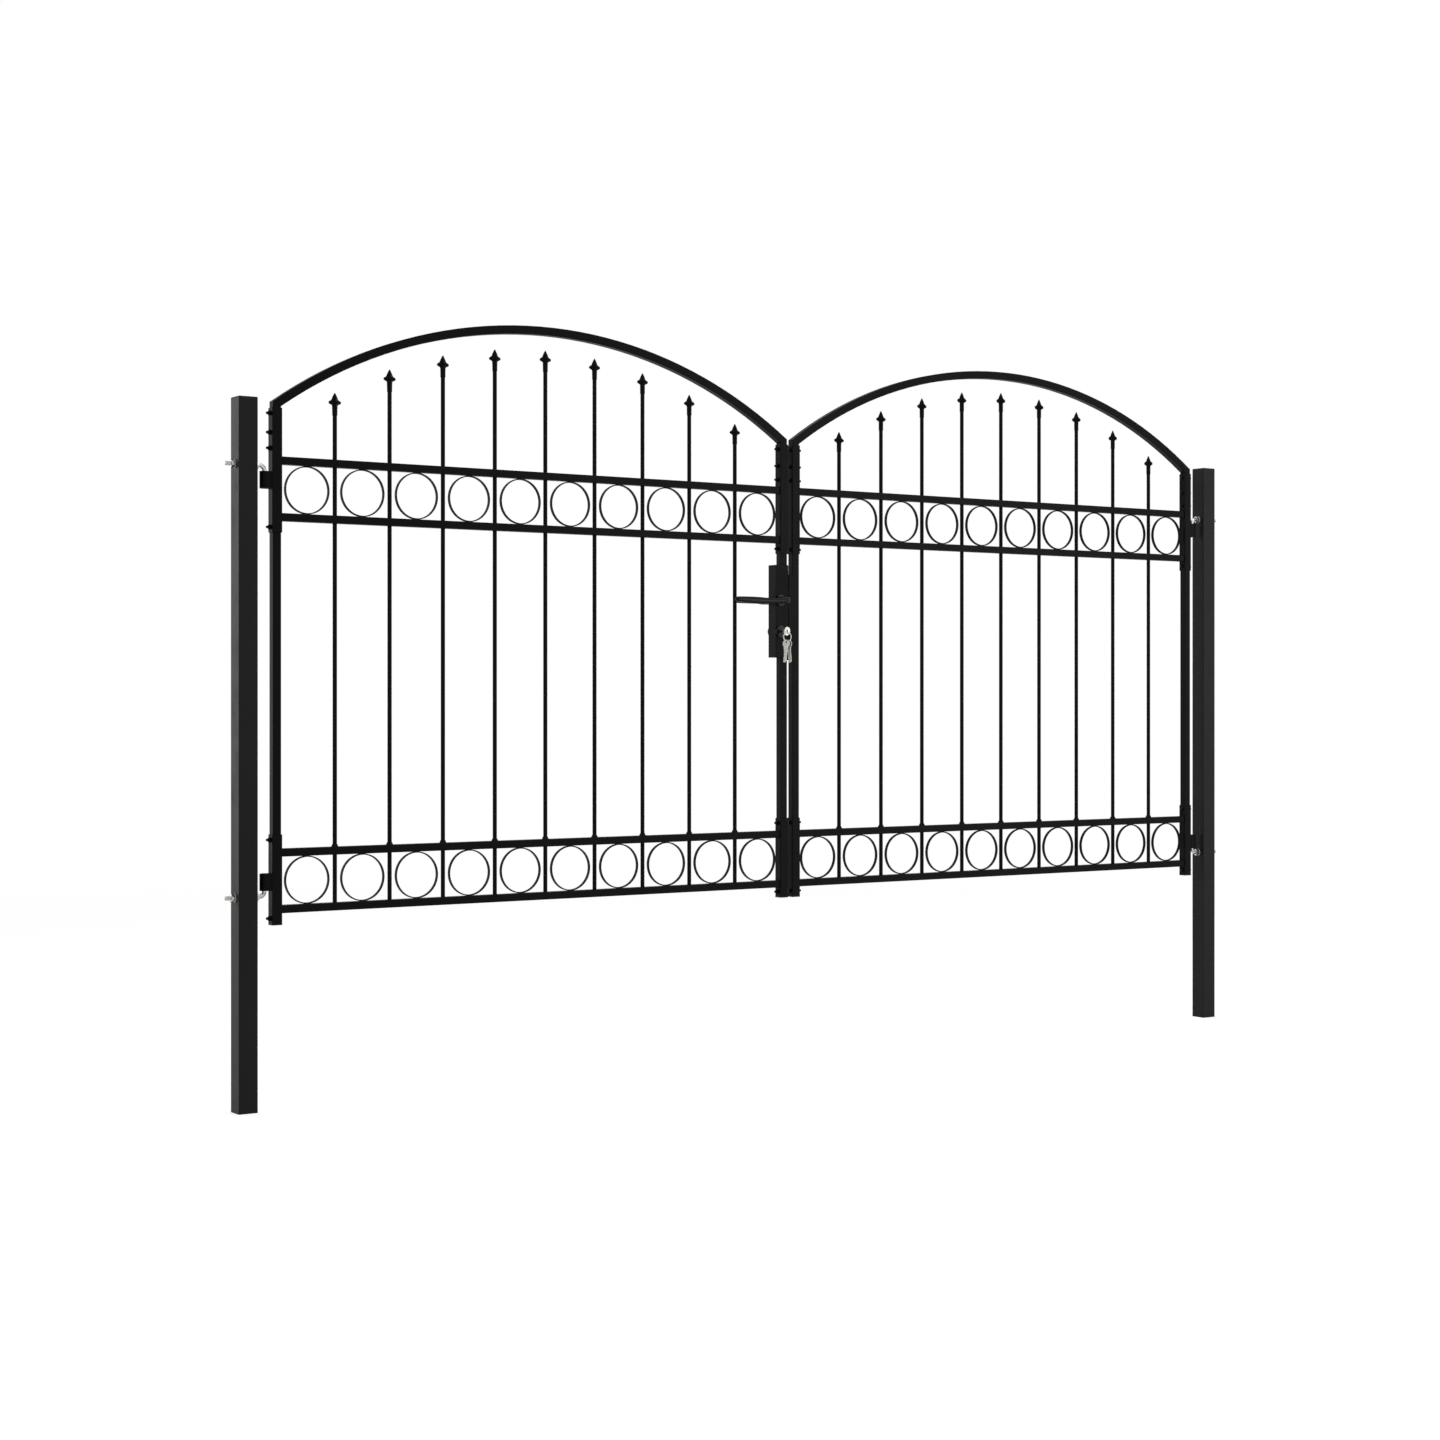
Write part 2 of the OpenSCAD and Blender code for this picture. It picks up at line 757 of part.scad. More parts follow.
// Roses round the lever necks and rings round the cylinder, on both faces of the case
module lock_trim() {
    color(coat) for (side = [0, 180]) {
        at_lock(spindle_z) rotate([0, 0, side]) difference() {
            rod_y(rose_d, -case_front - rose_t, -case_front);
            rod_y(neck_d + 2 * bolt_play, -case_front - rose_t - 1, -case_front + 1);
        }
        at_lock(cylinder_z) rotate([0, 0, side]) difference() {
            rod_y(escutcheon_d, -case_front - rose_t, -case_front);
            rod_y(cylinder_d + 2 * cylinder_play, -case_front - rose_t - 1, -case_front + 1);
        }
    }
}

// Lock cylinder: its body has a window in the middle where the plug's cam turns
module lock_cylinder() {
    color(coat) at_lock(cylinder_z) difference() {
        rod_y(cylinder_d, -cylinder_reach, cylinder_reach);
        rod_y(plug_d + 2 * plug_turn_play, -cylinder_reach - 1, cylinder_reach + 1);
        translate([-cylinder_d, -cam_room / 2, -plug_d / 2 + 2])
            cube([2 * cylinder_d, cam_room, cylinder_d]);
    }
}

// The lever's arm: round stations [distance from the spindle, drop, half height, half depth]
module lever_arm(arm, belly, sag) {
    half_t = lever_t / 2;
    waist = 6.6;
    tip = 6.3;
    end_r = 6;
    stations = [
        [0, 0, neck_d / 2, half_t], [arm * 0.26, sag, waist, half_t - 0.3],
        [arm * 0.57, sag, belly / 2, half_t - 0.3], [arm - end_r, sag / 3, tip, half_t - 0.8]
    ];
    for (i = [0:len(stations) - 2]) hull() for (s = [stations[i], stations[i + 1]])
        translate([-s[0], 0, -s[1]]) scale([end_r, s[3], s[2]]) sphere(1, $fn = 32);
}

module lever(arm, belly, sag) {
    arm_y = lever_front - lever_t / 2;
    neck_y = case_front + bolt_play;
    at_lock(spindle_z) difference() {
        union() {
            rod_y(neck_d, -arm_y, -neck_y);
            translate([0, -arm_y, 0]) lever_arm(arm, belly, sag);
        }
        translate([-spindle_hole / 2, -spindle_reach - 1, -spindle_hole / 2])
            cube([spindle_hole, spindle_reach + 1, spindle_hole]);
    }
}

module lever_front() {
    color(coat) lever(lever_len, lever_belly, lever_sag);
}

module lever_back() {
    color(coat) mirror([0, 1, 0]) lever(lever_back_len, lever_back_belly, 0);
}

module lever_spindle() {
    color(zinc) at_lock(spindle_z)
        translate([-spindle_side / 2, -spindle_reach, -spindle_side / 2])
        cube([spindle_side, 2 * spindle_reach, spindle_side]);
}

// Hub on the spindle whose lug pulls the latch back
module lock_follower() {
    color(zinc) at_lock(spindle_z) difference() {
        union() {
            rod_y(2 * follower_r, -follower_t / 2, follower_t / 2);
            rotate([0, lug_angle, 0]) translate([-lug_w / 2, -lug_w / 2, 0])
                cube([lug_w, lug_w, lug_reach]);
        }
        cube([spindle_hole, 2 * follower_t, spindle_hole], center = true);
    }
}

// Coil that returns the levers: three turns round the spindle and a straight leg
module lever_spring() {
    wire = 1.4;
    turn = 2.2;
    inner_r = 7.4;
    seat_y = case_front - lock_wall;
    color(zinc) at_lock(spindle_z) {
        for (i = [0:2]) translate([0, seat_y - i * turn, 0]) difference() {
            rod_y(2 * (inner_r + wire), -wire, 0);
            rod_y(2 * inner_r, -wire - 1, 1);
        }
        translate([-wire / 2, seat_y - 2 * turn - wire, -inner_r - wire])
            cube([wire, 2 * turn + wire, wire]);
        translate([-inner_r - wire, seat_y - wire, -22]) cube([wire, wire, 22]);
    }
}

// Latch: sloped head, tail plate and the tab that the follower's lug pushes
module latch_bolt() {
    head_x = lock_x + 14;
    nose_x = face_x + latch_out;
    nose_t = 2;
    slope = 10;
    tab_x = tab_right_x - tab_t;
    color(zinc) {
        translate([0, 0, latch_z - latch_h / 2]) linear_extrude(latch_h) polygon([
            [head_x, -latch_t / 2], [head_x, latch_t / 2], [nose_x, latch_t / 2],
            [nose_x, latch_t / 2 - nose_t], [nose_x - slope, -latch_t / 2]
        ]);
        translate([tab_x, -tab_t, tail_foot_z])
            cube([head_x - tab_x, 2 * tab_t, latch_z + latch_h / 2 - tail_foot_z]);
        translate([tab_x, -tab_t, tab_foot_z])
            cube([tab_t, 2 * tab_t, tail_foot_z - tab_foot_z + 1]);
    }
}

module dead_bolt() {
    rear_x = case_left_x + lock_wall + dead_bolt_room;
    color(zinc) translate([rear_x, -latch_t / 2, dead_bolt_z - dead_bolt_h / 2])
        cube([face_x - dead_bolt_inset - rear_x, latch_t, dead_bolt_h]);
}

// Channel on the other leaf's stile: the two bolts reach in between its lips
module strike_channel() {
    lip_x = face_x + strike_gap;
    back_x = leaf_gap / 2;
    color(coat) translate([0, 0, strike_z]) difference() {
        translate([lip_x, -strike_d / 2, 0]) cube([back_x - lip_x, strike_d, strike_len]);
        translate([lip_x - 1, -strike_d / 2 + strike_wall, -1])
            cube([back_x - lip_x - strike_back + 1, strike_d - 2 * strike_wall, strike_len + 2]);
    }
}

// Keys

// The cylinder's plug and its cam, which turn with the key
module cylinder_plug() {
    slot_w = key_t + slot_play;
    slot_h = blade_w + slot_play;
    color(coat) at_lock(cylinder_z) difference() {
        union() {
            rod_y(plug_d, -plug_face, plug_face);
            rotate([0, -45, 0]) translate([-cam_w / 2, -cam_t / 2, 0]) cube([cam_w, cam_t, cam_r]);
        }
        translate([-slot_w / 2, -plug_face - 1, -slot_h / 2])
            cube([slot_w, plug_face + 1 + blade_end, slot_h]);
    }
}

module key() {
    bow_edge = bow_reach - bow_d / 2 + 2;
    color(nickel) at_lock(cylinder_z) {
        translate([-key_t / 2, -bow_edge, -blade_w / 2])
            cube([key_t, bow_edge + blade_end, blade_w]);
        translate([0, -bow_reach, 0]) difference() {
            rod_x(bow_d, -key_t / 2, key_t / 2);
            rod_x(bow_hole_d, -key_t, key_t);
        }
    }
}

// Split ring, two turns side by side
module key_ring() {
    turn_w = keyring_t;
    color(nickel) translate([lock_x, -bow_reach, ring_c_z]) for (side = [-1, 1])
        translate([0, side * turn_w / 2, 0]) difference() {
            rod_y(2 * ring_outer_r, -turn_w / 2, turn_w / 2);
            rod_y(2 * keyring_r, -turn_w, turn_w);
        }
}

module spare_key(side) {
    bow_r = spare_bow_d / 2;
    bow_drop = bow_r - spare_hole_d / 2 - 2;
    tip_drop = spare_len - bow_r + bow_drop;
    color(nickel) translate([lock_x, -bow_reach, ring_c_z])
        translate([side * ring_mid_r * sin(spare_at), 0, -ring_mid_r * cos(spare_at)])
        rotate([0, side * -spare_fan, 0]) rotate([0, 0, spare_twist])
        translate([0, 0, -spare_hang]) {
            difference() {
                translate([0, 0, -bow_drop]) rod_x(spare_bow_d, -key_t / 2, key_t / 2);
                rod_x(spare_hole_d, -key_t, key_t);
            }
            difference() {
                translate([-key_t / 2, -spare_blade_w / 2, -tip_drop])
                    cube([key_t, spare_blade_w, tip_drop - bow_drop - bow_r + 2]);
                translate([0, -spare_blade_w / 2, -tip_drop]) rotate([45, 0, 0])
                    cube([2 * key_t, 4, 4], center = true);
            }
        }
}

post_lower();  // left_post_lower
post_upper();  // left_post_upper
post_connector();  // left_post_connector
post_cap();  // left_post_cap
on_right() post_lower();  // right_post_lower
on_right() post_upper();  // right_post_upper
on_right() post_connector();  // right_post_connector
on_right() post_cap();  // right_post_cap
both_sides() hinge_bolts();
both_sides() hinge_nuts();
both_sides() hinge_washers();
arch();  // left_arch
hinge_stile();  // left_hinge_stile
lock_free_stile();  // left_free_stile
stile_plugs();  // left_stile_plugs
upper_sleeves();  // left_upper_sleeves
lower_sleeves();  // left_lower_sleeves
upper_rails();  // left_upper_rails
lower_rails();  // left_lower_rails
upper_rings();  // left_upper_rings
lower_rings();  // left_lower_rings
bars();  // left_bars
collars();  // left_collars
spear_tips();  // left_spear_tips
joint_bolts();  // left_joint_bolts
joint_nuts();  // left_joint_nuts
hinge_blocks();  // left_hinge_blocks
on_right() arch();  // right_arch
on_right() hinge_stile();  // right_hinge_stile
on_right() plain_free_stile();  // right_free_stile
on_right() stile_plugs();  // right_stile_plugs
on_right() upper_sleeves();  // right_upper_sleeves
on_right() lower_sleeves();  // right_lower_sleeves
on_right() upper_rails();  // right_upper_rails
on_right() lower_rails();  // right_lower_rails
on_right() upper_rings();  // right_upper_rings
on_right() lower_rings();  // right_lower_rings
on_right() bars();  // right_bars
on_right() collars();  // right_collars
on_right() spear_tips();  // right_spear_tips
on_right() joint_bolts();  // right_joint_bolts
on_right() joint_nuts();  // right_joint_nuts
on_right() hinge_blocks();  // right_hinge_blocks
lock_case();
lock_faceplate();
lock_trim();
lock_cylinder();
cylinder_plug();
lever_front();
lever_back();
lever_spindle();
lock_follower();
lever_spring();
latch_bolt();
dead_bolt();
key();
key_ring();
spare_key(-1);  // spare_key_a
spare_key(1);  // spare_key_b
strike_channel();
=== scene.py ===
import json
import math
import random

import bmesh
import bpy
from mathutils import Matrix, Vector


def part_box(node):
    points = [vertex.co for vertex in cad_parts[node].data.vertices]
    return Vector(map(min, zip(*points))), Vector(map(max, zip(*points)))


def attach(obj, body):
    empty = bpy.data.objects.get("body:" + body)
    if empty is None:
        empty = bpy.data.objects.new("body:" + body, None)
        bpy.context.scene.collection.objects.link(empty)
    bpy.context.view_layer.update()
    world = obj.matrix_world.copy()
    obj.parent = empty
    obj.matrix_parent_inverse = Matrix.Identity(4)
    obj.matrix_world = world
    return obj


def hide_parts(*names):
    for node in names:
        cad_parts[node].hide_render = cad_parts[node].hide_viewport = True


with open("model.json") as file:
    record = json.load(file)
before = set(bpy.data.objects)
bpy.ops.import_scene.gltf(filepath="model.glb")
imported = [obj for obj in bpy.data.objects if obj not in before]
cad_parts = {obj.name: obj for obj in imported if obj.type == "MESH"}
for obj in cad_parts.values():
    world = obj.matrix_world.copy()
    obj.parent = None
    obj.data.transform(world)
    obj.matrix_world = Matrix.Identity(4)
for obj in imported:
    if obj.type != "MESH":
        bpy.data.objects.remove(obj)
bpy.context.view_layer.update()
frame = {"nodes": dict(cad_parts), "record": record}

scene = bpy.context.scene
dice = random.Random(7)
mm = 0.001
print("frame loaded:", len(frame["nodes"]), "nodes")

# Camera and light
eye = {
    "place": (-3.6114, -5.0536, 0.9068), "turn": 33.937, "lens": 60.81, "sensor": 36,
    "shiftX": 0.0006, "shiftY": -0.0119, "near": 0.1, "far": 60,
}
studio = {
    "worldKey": 0.95, "worldFill": 0.20, "floorSize": 16.0,
    "top": {"place": (0.6, -0.8, 5.0), "aim": (0, 0, 0.8), "size": (7, 4), "watts": 190},
    "left": {"place": (-3.3, 3.4, 1.7), "aim": (-1.2, 0, 1.0), "size": (1.5, 3.0), "watts": 27},
    "front": {"place": (4.6, -5.6, 1.5), "aim": (0.8, 0, 0.9), "size": (2.8, 2.6), "watts": 100},
}


def aimMatrix(place, aim):
    way = Vector(aim) - Vector(place)
    return Matrix.Translation(place) @ way.to_track_quat("-Z", "Y").to_matrix().to_4x4()


def makeCamera():
    cam = bpy.data.cameras.new("eye")
    cam.lens, cam.sensor_width = eye["lens"], eye["sensor"]
    cam.shift_x, cam.shift_y = eye["shiftX"], eye["shiftY"]
    cam.clip_start, cam.clip_end = eye["near"], eye["far"]
    obj = bpy.data.objects.new("eye", cam)
    obj.location = eye["place"]
    obj.rotation_euler = (math.radians(90), 0, -math.radians(eye["turn"]))
    scene.collection.objects.link(obj)
    scene.camera = obj


def makeLamp(name):
    said = studio[name]
    lamp = bpy.data.lights.new(name, "AREA")
    lamp.shape, lamp.size, lamp.size_y = "RECTANGLE", said["size"][0], said["size"][1]
    lamp.energy = said["watts"]
    obj = bpy.data.objects.new(name, lamp)
    obj.matrix_world = aimMatrix(said["place"], said["aim"])
    obj.visible_camera = False
    scene.collection.objects.link(obj)


makeCamera()
for lampName in ("top", "left", "front"):
    makeLamp(lampName)
scene.view_settings.view_transform = "Standard"
print("camera and lamps in place")


# Shader wiring
def plug(tree, socket, value):
    if isinstance(value, Wire):
        tree.links.new(value.socket, socket)
    elif socket.type == "RGBA" and len(value) == 3:
        socket.default_value = (*value, 1)
    else:
        socket.default_value = value


class Wire:  # an output socket that takes part in Python sums
    def __init__(self, tree, socket):
        self.tree, self.socket = tree, socket

    def sum(self, operation, first, second):
        node = self.tree.nodes.new("ShaderNodeMath")
        node.operation = operation
        plug(self.tree, node.inputs[0], first)
        plug(self.tree, node.inputs[1], second)
        return Wire(self.tree, node.outputs[0])

    def __add__(self, other):
        return self.sum("ADD", self, other)

    def __radd__(self, other):
        return self.sum("ADD", other, self)

    def __sub__(self, other):
        return self.sum("SUBTRACT", self, other)

    def __rsub__(self, other):
        return self.sum("SUBTRACT", other, self)

    def __mul__(self, other):
        return self.sum("MULTIPLY", self, other)

    def __rmul__(self, other):
        return self.sum("MULTIPLY", other, self)


class Bench:  # one node tree and the one way to put a node in it
    def __init__(self, tree):
        self.tree = tree
        tree.nodes.clear()

    def node(self, kind, settings=None, values=None, out=0):
        node = self.tree.nodes.new(kind)
        for key, value in (settings or {}).items():
            setattr(node, key, value)
        for key, value in (values or {}).items():
            plug(self.tree, node.inputs[key], value)
        return Wire(self.tree, node.outputs[out]) if node.outputs else node

    def noise(self, place, scale, detail, roughness):
        return self.node("ShaderNodeTexNoise", None, {
            "Vector": place, "Scale": scale, "Detail": detail, "Roughness": roughness})

    def remap(self, value, low, high, toLow=0.0, toHigh=1.0):
        return self.node("ShaderNodeMapRange", {"interpolation_type": "SMOOTHSTEP"}, {
            "Value": value, "From Min": low, "From Max": high, "To Min": toLow, "To Max": toHigh})

    def blend(self, share, first, second):
        node = self.tree.nodes.new("ShaderNodeMix")
        node.data_type = "RGBA"
        plug(self.tree, node.inputs["Factor"], share)
        plug(self.tree, node.inputs[6], first)
        plug(self.tree, node.inputs[7], second)
        return Wire(self.tree, node.outputs[2])


def newBench(name):
    material = bpy.data.materials.new(name)
    material.use_nodes = True
    return material, Bench(material.node_tree)


def finishShader(bench, color, rough, height, bump, fixed):
    normal = bench.node("ShaderNodeBump", None, {
        "Height": height, "Strength": bump["strength"], "Distance": bump["depth"]})
    shader = bench.node("ShaderNodeBsdfPrincipled", None, {
        "Base Color": color, "Roughness": rough, **fixed, "Normal": normal})
    bench.node("ShaderNodeOutputMaterial", None, {"Surface": shader})


# Finishes
leafLook = {
    "dark": (0.0014, 0.0014, 0.0014), "light": (0.0032, 0.0032, 0.0030),
    "dust": (0.022, 0.021, 0.019), "dustShare": 0.08, "rough": 0.40, "roughSpread": 0.14,
    "peel": 420.0, "grain": 1700.0, "gloss": 0.05, "bump": 0.22,
}
# Same powder coat as the leaves, made lighter and glossier: painted light, standing in for the
# brighter light that falls on the posts
litPostLook = {
    "dark": (0.0030, 0.0030, 0.0030), "light": (0.0062, 0.0061, 0.0058),
    "dust": (0.028, 0.0265, 0.024), "dustShare": 0.10, "rough": 0.42, "roughSpread": 0.16,
    "peel": 480.0, "grain": 1900.0, "gloss": 0.12, "bump": 0.34,
}
lacquerLook = {
    "dark": (0.0022, 0.0022, 0.0022), "light": (0.0050, 0.0049, 0.0045),
    "dust": (0.024, 0.0225, 0.019), "dustShare": 0.04, "rough": 0.23, "roughSpread": 0.12,
    "peel": 240.0, "grain": 1400.0, "gloss": 0.10, "bump": 0.26,
}
plasticLook = {
    "dark": (0.004, 0.004, 0.0042), "light": (0.009, 0.009, 0.0092), "rough": 0.52,
    "roughSpread": 0.14, "grain": 2600.0, "flow": 60, "gloss": 0.16, "bump": 0.4, "depth": 0.00018,
}
# Zinc and nickel: the dull colour and the patches that mix it in are partly plating mottle and partly
# painted dark reflections, standing in for dark surroundings mirrored in the metal
zincLook = {
    "bright": (0.56, 0.56, 0.54), "dullAndPaintedDarkReflection": (0.17, 0.17, 0.16), "rough": 0.24,
    "brush": 700.0, "patch": 260.0,
}
nickelLook = {
    "bright": (0.70, 0.69, 0.66), "dullAndPaintedDarkReflection": (0.42, 0.41, 0.38), "rough": 0.30,
    "brush": 900.0, "patch": 180.0,
}
# what the three coats share: scale, detail and roughness of each noise, and the part of it used
coatPattern = {
    "cloud": (2.6, 4, 0.6), "cloudRange": (0.3, 0.72), "cloudShare": 0.65,
    "settle": (34, 4, 0.65), "settleRange": (0.42, 0.68), "upRange": (0.35, 0.95),
    "film": (9.0, 5, 0.7), "filmRange": (0.45, 0.8), "filmDust": 0.3, "filmRough": 0.10,
    "speck": 85.0, "speckSize": 0.16, "speckDust": 0.05, "speckHigh": 0.25,
    "grainShare": 0.35, "grainHigh": 0.28, "peelHigh": 0.8, "dustRough": 0.5,
    "depth": 0.0003, "ior": 1.5,
}
metalPattern = {
    "patchRange": (0.38, 0.66), "patchShare": 0.65, "patchRough": 0.12, "patchHigh": 0.3,
    "bloom": (28, 3, 0.6), "bloomRange": (0.45, 0.72), "bloomShare": 0.35, "bloomRough": 0.06,
    "brushStretch": (0.12, 1.0, 1.0), "scratchRough": 0.18, "scratchHigh": 0.7,
    "bump": 0.22, "depth": 0.00012,
}


def coatMaterial(name, look):
    said = coatPattern
    material, bench = newBench(name)
    place = bench.node("ShaderNodeTexCoord", out="Object")
    up = bench.node("ShaderNodeSeparateXYZ", None, {
        "Vector": bench.node("ShaderNodeNewGeometry", out="Normal")}, out="Z")
    cloud = bench.remap(bench.noise(place, *said["cloud"]), *said["cloudRange"])
    peel = bench.noise(place, look["peel"], 1.5, 0.45)
    grain = bench.noise(place, look["grain"], 2, 0.6)
    speck = bench.remap(bench.node("ShaderNodeTexVoronoi", None, {
        "Vector": place, "Scale": said["speck"]}), 0.0, said["speckSize"], 1.0, 0.0)
    settle = (bench.remap(up, *said["upRange"])
              * bench.remap(bench.noise(place, *said["settle"]), *said["settleRange"]))
    film = bench.remap(bench.noise(place, *said["film"]), *said["filmRange"])
    dusty = (settle * look["dustShare"] + film * (said["filmDust"] * look["dustShare"])
             + speck * film * said["speckDust"])
    mottle = cloud * said["cloudShare"] + grain * said["grainShare"]
    color = bench.blend(dusty, bench.blend(mottle, look["dark"], look["light"]), look["dust"])
    rough = (look["rough"] + (peel - 0.5) * look["roughSpread"] + film * said["filmRough"]
             + dusty * said["dustRough"])
    height = (peel * said["peelHigh"] + grain * said["grainHigh"]
              + speck * film * said["speckHigh"])
    finishShader(bench, color, rough, height, {"strength": look["bump"], "depth": said["depth"]},
                 {"Specular IOR Level": look["gloss"], "IOR": said["ior"]})
    return material


def plasticMaterial(name, look):
    material, bench = newBench(name)
    place = bench.node("ShaderNodeTexCoord", out="Object")
    grain = bench.noise(place, look["grain"], 3, 0.6)
    flow = bench.noise(place, look["flow"], 3, 0.55)
    color = bench.blend(flow * 0.7 + grain * 0.3, look["dark"], look["light"])
    rough = look["rough"] + (flow - 0.5) * look["roughSpread"]
    finishShader(bench, color, rough, grain, {"strength": look["bump"], "depth": look["depth"]},
                 {"Specular IOR Level": look["gloss"]})
    return material


def metalMaterial(name, look):
    said = metalPattern
    material, bench = newBench(name)
    place = bench.node("ShaderNodeTexCoord", out="Object")
    patch = bench.remap(bench.noise(place, look["patch"], 4, 0.62), *said["patchRange"])
    bloom = bench.remap(bench.noise(place, *said["bloom"]), *said["bloomRange"])
    stretch = bench.node("ShaderNodeMapping", None, {
        "Vector": place, "Scale": said["brushStretch"]})
    scratch = bench.noise(stretch, look["brush"], 4, 0.7)
    # patches of the dull colour: plating mottle and painted dark reflections
    mottle = patch * said["patchShare"] + bloom * said["bloomShare"]
    color = bench.blend(mottle, look["bright"], look["dullAndPaintedDarkReflection"])
    rough = (look["rough"] + patch * said["patchRough"] + (scratch - 0.5) * said["scratchRough"]
             + bloom * said["bloomRough"])
    height = scratch * said["scratchHigh"] + patch * said["patchHigh"]
    finishShader(bench, color, rough, height, {"strength": said["bump"], "depth": said["depth"]},
                 {"Metallic": 1.0})
    return material


finishes = {
    "coat": coatMaterial("powderCoat", leafLook),
    "post_coat": coatMaterial("litPostPowderCoat", litPostLook),  # the record's slot "coat" on the posts, as a lighter, glossier copy of the leaves' coat: painted light for the brighter light on the posts
    "lever_coat": coatMaterial("leverLacquer", lacquerLook),
    "plastic": plasticMaterial("mouldedPlastic", plasticLook),
    "zinc": metalMaterial("zincPlate", zincLook),
    "nickel": metalMaterial("nickelPlate", nickelLook),
}
print("finishes made:", ", ".join(finishes))


# Floor and world
floorLook = {"matt": (0.42, 0.42, 0.42), "soft": (0.62, 0.62, 0.62), "glow": 0.66,
             "fade": (2.5, 7.0)}


def seenPlain(bench):  # 1 for rays that look at the background: from the camera, gloss or glass
    rays = [bench.node("ShaderNodeLightPath", out=name)
            for name in ("Is Camera Ray", "Is Glossy Ray", "Is Transmission Ray")]
    return bench.node("ShaderNodeMath", {"operation": "MINIMUM"}, {
        0: rays[0] + rays[1] + rays[2], 1: 1.0})


def makeWorld():
    world = bpy.data.worlds.new("studioWorld")
    scene.world = world
    world.use_nodes = True
    bench = Bench(world.node_tree)
    way = bench.node("ShaderNodeSeparateXYZ", None, {
        "Vector": bench.node("ShaderNodeTexCoord", out="Generated")}, out="Y")
    side = bench.node("ShaderNodeSeparateXYZ", None, {
        "Vector": bench.node("ShaderNodeTexCoord", out="Generated")}, out="X")
    bright = bench.remap(way * 0.8 - side * 0.6, -0.5, 0.55, studio["worldFill"], studio["worldKey"])
    strength = bright + seenPlain(bench) * (1 - bright)
    sky = bench.node("ShaderNodeBackground", None, {"Color": (1, 1, 1), "Strength": strength})
    bench.node("ShaderNodeOutputWorld", None, {"Surface": sky})


def makeFloor():
    half = studio["floorSize"] / 2
    mesh = bpy.data.meshes.new("floor")
    corners = [(-half, -half, 0), (half, -half, 0), (half, half, 0), (-half, half, 0)]
    mesh.from_pydata(corners, [], [(0, 1, 2, 3)])
    floor = bpy.data.objects.new("floor", mesh)
    scene.collection.objects.link(floor)
    material, bench = newBench("paleFloor")
    place = bench.node("ShaderNodeTexCoord", out="Object")
    away = bench.node("ShaderNodeVectorMath", {"operation": "LENGTH"}, {"Vector": place}, out="Value")
    far = bench.remap(away, *floorLook["fade"])
    matt = bench.node("ShaderNodeBsdfDiffuse", None, {"Color": floorLook["matt"]})
    glow = bench.node("ShaderNodeEmission", None, {
        "Color": (1, 1, 1), "Strength": floorLook["glow"]})
    lit = bench.node("ShaderNodeAddShader", None, {0: matt, 1: glow})
    plain = bench.node("ShaderNodeEmission", None, {"Color": (1, 1, 1), "Strength": 1.0})
    seen = seenPlain(bench)
    soft = bench.node("ShaderNodeBsdfDiffuse", None, {"Color": floorLook["soft"]})
    shown = bench.node("ShaderNodeMixShader", None, {0: far, 1: lit, 2: plain})
    both = bench.node("ShaderNodeMixShader", None, {0: seen, 1: soft, 2: shown})
    bench.node("ShaderNodeOutputMaterial", None, {"Surface": both})
    mesh.materials.append(material)


makeWorld()
makeFloor()
print("world and floor made")


# CAD nodes: finish and softened edges
softEdges = {"width": 0.5, "segments": 2, "angle": 50, "join": 0.00001}
softened = ("post_lower", "post_upper", "post_cap", "sleeves", "stile_plugs", "hinge_blocks",
            "lock_case", "lock_faceplate", "strike_channel", "dead_bolt", "latch_bolt")


def softEdge(piece, width, segments=2, angle=40):
    bevel = piece.modifiers.new("softEdge", "BEVEL")
    bevel.width = width * mm
    bevel.segments = segments
    bevel.limit_method = "ANGLE"
    bevel.angle_limit = math.radians(angle)


def dressNodes():
    for part in frame["record"]["subparts"]:
        node = frame["nodes"][part["node"]]
        # the posts take the lighter copy of the coat, painted light for their brighter look
        onPost = part["material_slot"] == "coat" and "_post_" in part["node"]
        node.data.materials.clear()
        node.data.materials.append(finishes["post_coat" if onPost else part["material_slot"]])
        if part["node"].endswith(softened):
            weld = node.modifiers.new("weld", "WELD")
            weld.merge_threshold = softEdges["join"]
            softEdge(node, softEdges["width"], softEdges["segments"], softEdges["angle"])


dressNodes()
print("nodes dressed")

# Sizes that the pieces share, in millimetres
gate = {
    "barPitch": 137.0, "barCount": 9, "ring": 108.0, "rail": 18.0, "stile": 20.0,
    "sleeve": 24.0, "sides": {"left": -1, "right": 1},
}


def span(node, axis):
    low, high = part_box(node)
    return low[axis] / mm, high[axis] / mm


def middle(node, axis):
    low, high = span(node, axis)
    return (low + high) / 2


def jointPlace(name):
    for joint in frame["record"]["behaviour"]["joints"]:
        if joint["name"] == name:
            return [value / mm for value in joint["pos_m"]]


def seatAt(place, way, turn=0.0):  # local Z points along way
    facing = Vector(way).to_track_quat("Z", "Y").to_matrix().to_4x4()
    return Matrix.Translation(place) @ facing @ Matrix.Rotation(turn, 4, "Z")


